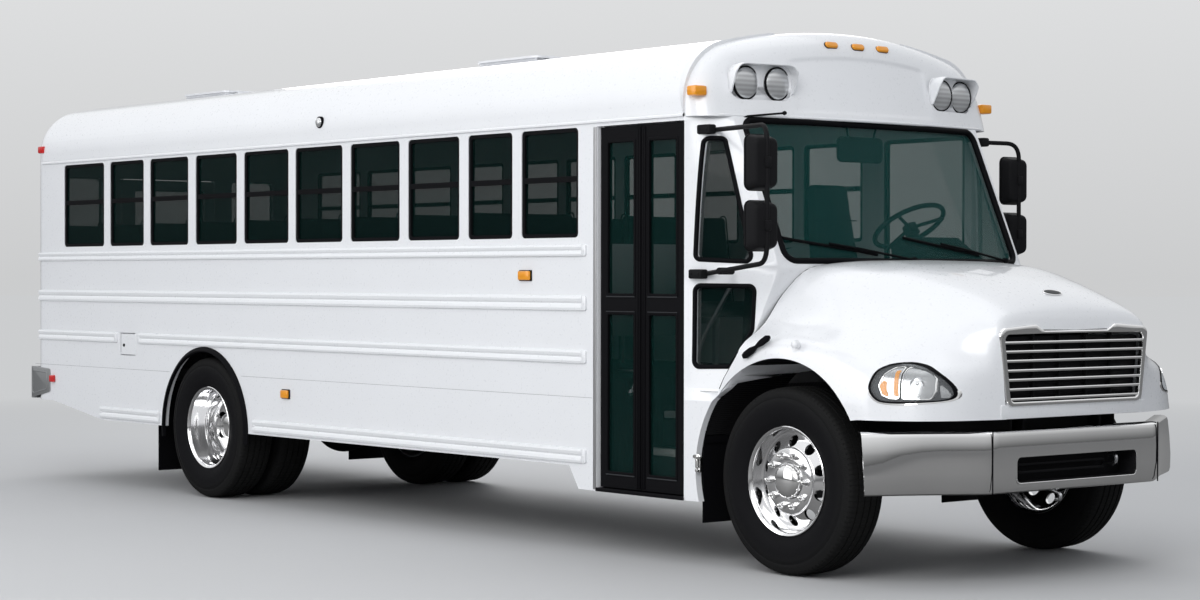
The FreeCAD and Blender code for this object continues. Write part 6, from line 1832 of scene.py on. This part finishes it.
    def view_mirror(self) -> None:
        """Wide inside mirror on its stays."""
        shell = oblong((-0.185, 0.185), (2.298, 2.448), 0.035, 5)
        back = plate("back", X, shell, ahead(-0.574, -0.548), 0.008)
        stays = [bar("stay", (at(-0.556), y, 2.42), (at(-0.54), y * 1.4, 2.575), 0.006, 10)
                 for y in (-0.1, 0.1)]
        merged("inside_mirror", [back] + stays, PLASTIC)
        face = oblong((-0.176, 0.176), (2.307, 2.439), 0.028, 5)
        settle(plate("inside_mirror_face", X, face, ahead(-0.577, -0.573), 0.001), MIRROR)

    def latches(self) -> None:
        """Two latches on every upper sash."""
        made = [block("latch", about(at(x), 0.022), (-1.178, -1.16), (2.196, 2.214), 0.004)
                for low, high in self.windows for x in (low + 0.085, high - 0.085)]
        both(joined("sash_latches", made), BLACK)

    def build(self) -> None:
        """The whole inside."""
        self.benches()
        self.driver()
        self.dash()
        self.view_mirror()
        self.latches()


# ---- rear and arches
@dataclass
class RearEnd:
    """Glazing seals, door hardware, bumper, plate holder and flares."""

    face: float = REAR_FACE
    # openings: spans across and up
    window: tuple[Span, Span] = ((0.62, 1.04), (1.857, 2.44))
    door_panes: tuple[tuple[Span, Span], ...] = (((-0.314, 0.352), (1.12, 1.62)),
                                                 ((-0.314, 0.352), (1.857, 2.35)))
    # turned section of a flare: across, radius
    lip: Rows = ((1.22, 0.572), (1.24, 0.576), (1.2446, 0.583), (1.242, 0.593), (1.234, 0.6),
                 (1.229, 0.606), (1.227, 0.611), (1.22, 0.612))

    def seal(self, across: Point, up: Point) -> Piece:
        """Rubber round one opening of the rear wall."""
        return rim_round("seal", X, across, up, (0.016, -0.01), (0.05, 0.035),
                         (self.face - 0.007, self.face + 0.008), 0.005)

    def glazing(self) -> None:
        """Seals of the fixed rear windows and of the door's two panes."""
        (low, high), up = self.window
        made = [self.seal(across, up) for across in ((low, high), (-high, -low))]
        merged("rear_window_seals", made, RUBBER)
        merged("rear_door_seals", [self.seal(*pane) for pane in self.door_panes], RUBBER, "rear_door")

    def hardware(self) -> None:
        """Hinges, handle and the door's gasket line."""
        face = self.face
        screw = ((-0.009, 0.0), (-0.008, 0.005), (-0.005, 0.006), (-0.005, 0.0))
        leaves = []
        for z in (1.06, 1.74, 2.38):
            leaves.append(block("leaf", (face - 0.006, face + 0.001), (-0.382, -0.312), about(z, 0.038),
                                0.002))
            leaves += [spun("screw", screw, (face, -0.347, place), X, 10) for place in about(z, 0.022)]
        merged("rear_door_hinge_leaves", leaves, WHITE, "rear_door")
        pad = plate("pad", X, oblong((0.33, 0.41), (1.68, 1.8), 0.015), (face - 0.01, face), 0.003)
        path = [(face, 0.395, 1.74), (face - 0.03, 0.395, 1.74), (face - 0.03, 0.25, 1.74)]
        grip = hose("grip", bent(path, 0.012), 0.0085, 10)
        merged("rear_door_handle", [pad, grip], STEEL, "rear_door")
        line = rim_round("rear_door_line", X, (-0.47, 0.462), (0.972, 2.452), (0.0, -0.011),
                         (0.03, 0.02), about(face, 0.004), 0.002)
        settle(line, RUBBER)

    def bumper(self) -> None:
        """Pressed channel with returned flanges, end caps and bolts, replacing the plain one."""
        (x0, _, z0), (x1, half, z1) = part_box("rear_bumper")
        x0 += 0.007
        thick = 0.008
        across = (-half, half)
        parts = [block("face", (x0, x0 + thick), across, (z0, z1), 0.003)]
        parts += [block("flange", (x0, x0 + 0.09), across, (z, z + thick), 0.003) for z in (z0, z1 - thick)]
        end = rounded([(x0, z0), (x1, z0 + 0.06), (x1, z1 - 0.012), (x0, z1)], 0.018)
        ridge = [(x0 + 0.018, z0 + 0.03), (x1 - 0.05, z0 + 0.075), (x1 - 0.05, z1 - 0.04),
                 (x0 + 0.018, z1 - 0.03)]
        inner = [(x + (0.01 if x < x0 + 0.1 else -0.01), z + (0.01 if z < z0 + 0.1 else -0.01))
                 for x, z in ridge]
        for side, _ in SIDES:
            parts.append(plate("end", Y, end, sorted((side * half, side * (half - thick))), 0.003))
            parts.append(frame_ring("ridge", Y, rounded(ridge, 0.015), rounded(inner, 0.012),
                                    sorted((side * (half - 0.001), side * (half + 0.003))), 0.002))
        bolt = ((-0.006, 0.0), (-0.005, 0.01), (0.001, 0.013), (0.001, 0.0))
        parts += [spun("bolt", bolt, (x0, y, z), X, 12)
                  for y in (-0.95, -0.45, 0.45, 0.95) for z in (z0 + 0.07, z1 - 0.07)]
        merged("rear_bumper_channel", parts, BUMPER_STEEL, "root", 40, ("rear_bumper",))

    def plate_holder(self) -> None:
        """Blank plate, its frame and the lamp above it."""
        holder = oblong((0.56, 0.88), (1.01, 1.18), 0.012)
        settle(plate("holder", X, holder, (self.face - 0.006, self.face), 0.002), BLACK)
        blank = oblong((0.568, 0.872), (1.018, 1.172), 0.01)
        settle(plate("blank_plate", X, blank, (self.face - 0.009, self.face - 0.006), 0.001), WHITE)
        lamp = block("plate_lamp", (self.face - 0.03, self.face), (0.69, 0.75), (1.184, 1.206), 0.006)
        settle(lamp, BLACK)

    def flares(self) -> None:
        """Rubber flares with a raised lip, following the arches down to the skirt."""
        ring = spun("wheel_flare", [(-y, r) for y, r in self.lip], (REAR_AXLE_X, 0, 0.495), Y, 96)
        cut(ring, block("keep", about(REAR_AXLE_X, 1), (-1.4, -1.1), (0.4235, 1.4)), "INTERSECT")
        left = clone(ring, "wheel_flare_left", MIRROR_Y)
        settle(ring, RUBBER, "root", 35, ("wheel_flares",))
        settle(left, RUBBER)

    def hatches(self) -> None:
        """Moulded hatch lids, each with a raised rim and ribs."""
        for word in ("front", "rear"):
            low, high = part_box("roof_hatch_" + word)
            top, x, y = high[2], (low[0] + high[0]) / 2, (low[1] + high[1]) / 2
            for vertex in smoothed("roof_hatch_" + word, WHITE).data.vertices:
                if vertex.co.z > top - 0.005:
                    vertex.co.z -= 0.004
            rim = rim_round("rim", Z, about(x, 0.3), about(y, 0.3), (0.0, -0.01), (0.05, 0.04),
                            (top - 0.008, top), 0.002)
            ribs = [block("rib", about(x, 0.25), about(y + k * 0.09, 0.008), (top - 0.008, top), 0.003)
                    for k in range(-2, 3)]
            merged("hatch_ribs_" + word, [rim] + ribs, WHITE, "hatch_" + word)

    def build(self) -> None:
        """The whole rear and both arches."""
        self.hatches()
        self.glazing()
        self.hardware()
        self.bumper()
        self.plate_holder()
        self.flares()


# ---- pieces carried over from the frame
@dataclass
class Carried:
    """CAD nodes that show as they are, or smoothly shaded in their own shape."""

    finishes: ClassVar[dict[Finish, tuple[str, ...]]] = {
        WHITE: ("roof_shell", "rear_wall", "right_wall", "left_wall", "front_cowl", "rear_door", "fuel_door"),
        BLACK: ("entrance_leaf_rear", "entrance_leaf_front", "window_frames"),
        FRAME_BLACK: ("chassis_frame", "front_axle", "rear_axle", "leaf_springs", "drive_line", "radiator"),
        GLASS: ("side_glass", "rear_door_glass"),
        DOOR_GLASS: ("entrance_glass_rear", "entrance_glass_front"),
        SHIELD_GLASS: ("windshield",),
        STEP: ("entrance_steps", "floor_deck"),
        CAST: ("engine_block", "knuckle_right", "knuckle_left"),
        STEEL: ("exhaust_system", "fuel_tank", "grab_rails", "bench_frames"),
        RUBBER: ("mud_flaps",),
        LINER: ("fender_liners", "splash_shields"),
        PLASTIC: ("steering_wheel",),
        MIRROR: ("mirror_glass",),
    }
    smooth: tuple[str, ...] = ("roof_shell", "rear_wall", "exhaust_system", "steering_wheel", "grab_rails",
                               "front_axle", "rear_axle", "knuckle_right", "knuckle_left", "front_cowl",
                               "windshield")

    def build(self) -> None:
        """Dress every node that no new piece stands for."""
        for finish, nodes in self.finishes.items():
            for node in nodes:
                if node in self.smooth:
                    smoothed(node, finish)
                else:
                    mesh = frame["nodes"][node].data
                    mesh.materials.clear()
                    mesh.materials.append(finish.material())


def main() -> None:
    """Build the room and every sub-assembly, and report each."""
    logging.basicConfig(level=logging.INFO, format="%(name)s: %(message)s")
    for part in (Room(), Hood(), Wheels(), FrontEnd(), Glazing(), FrontCap(), Mirrors(), Walls(), Entrance(),
                 Lamps(), Cabin(), RearEnd(), Carried()):
        count = len(bpy.data.objects)
        part.build()
        LOG.info("%s built, %d new pieces", type(part).__name__, len(bpy.data.objects) - count)
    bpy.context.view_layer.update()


if __name__ == "__main__":
    main()
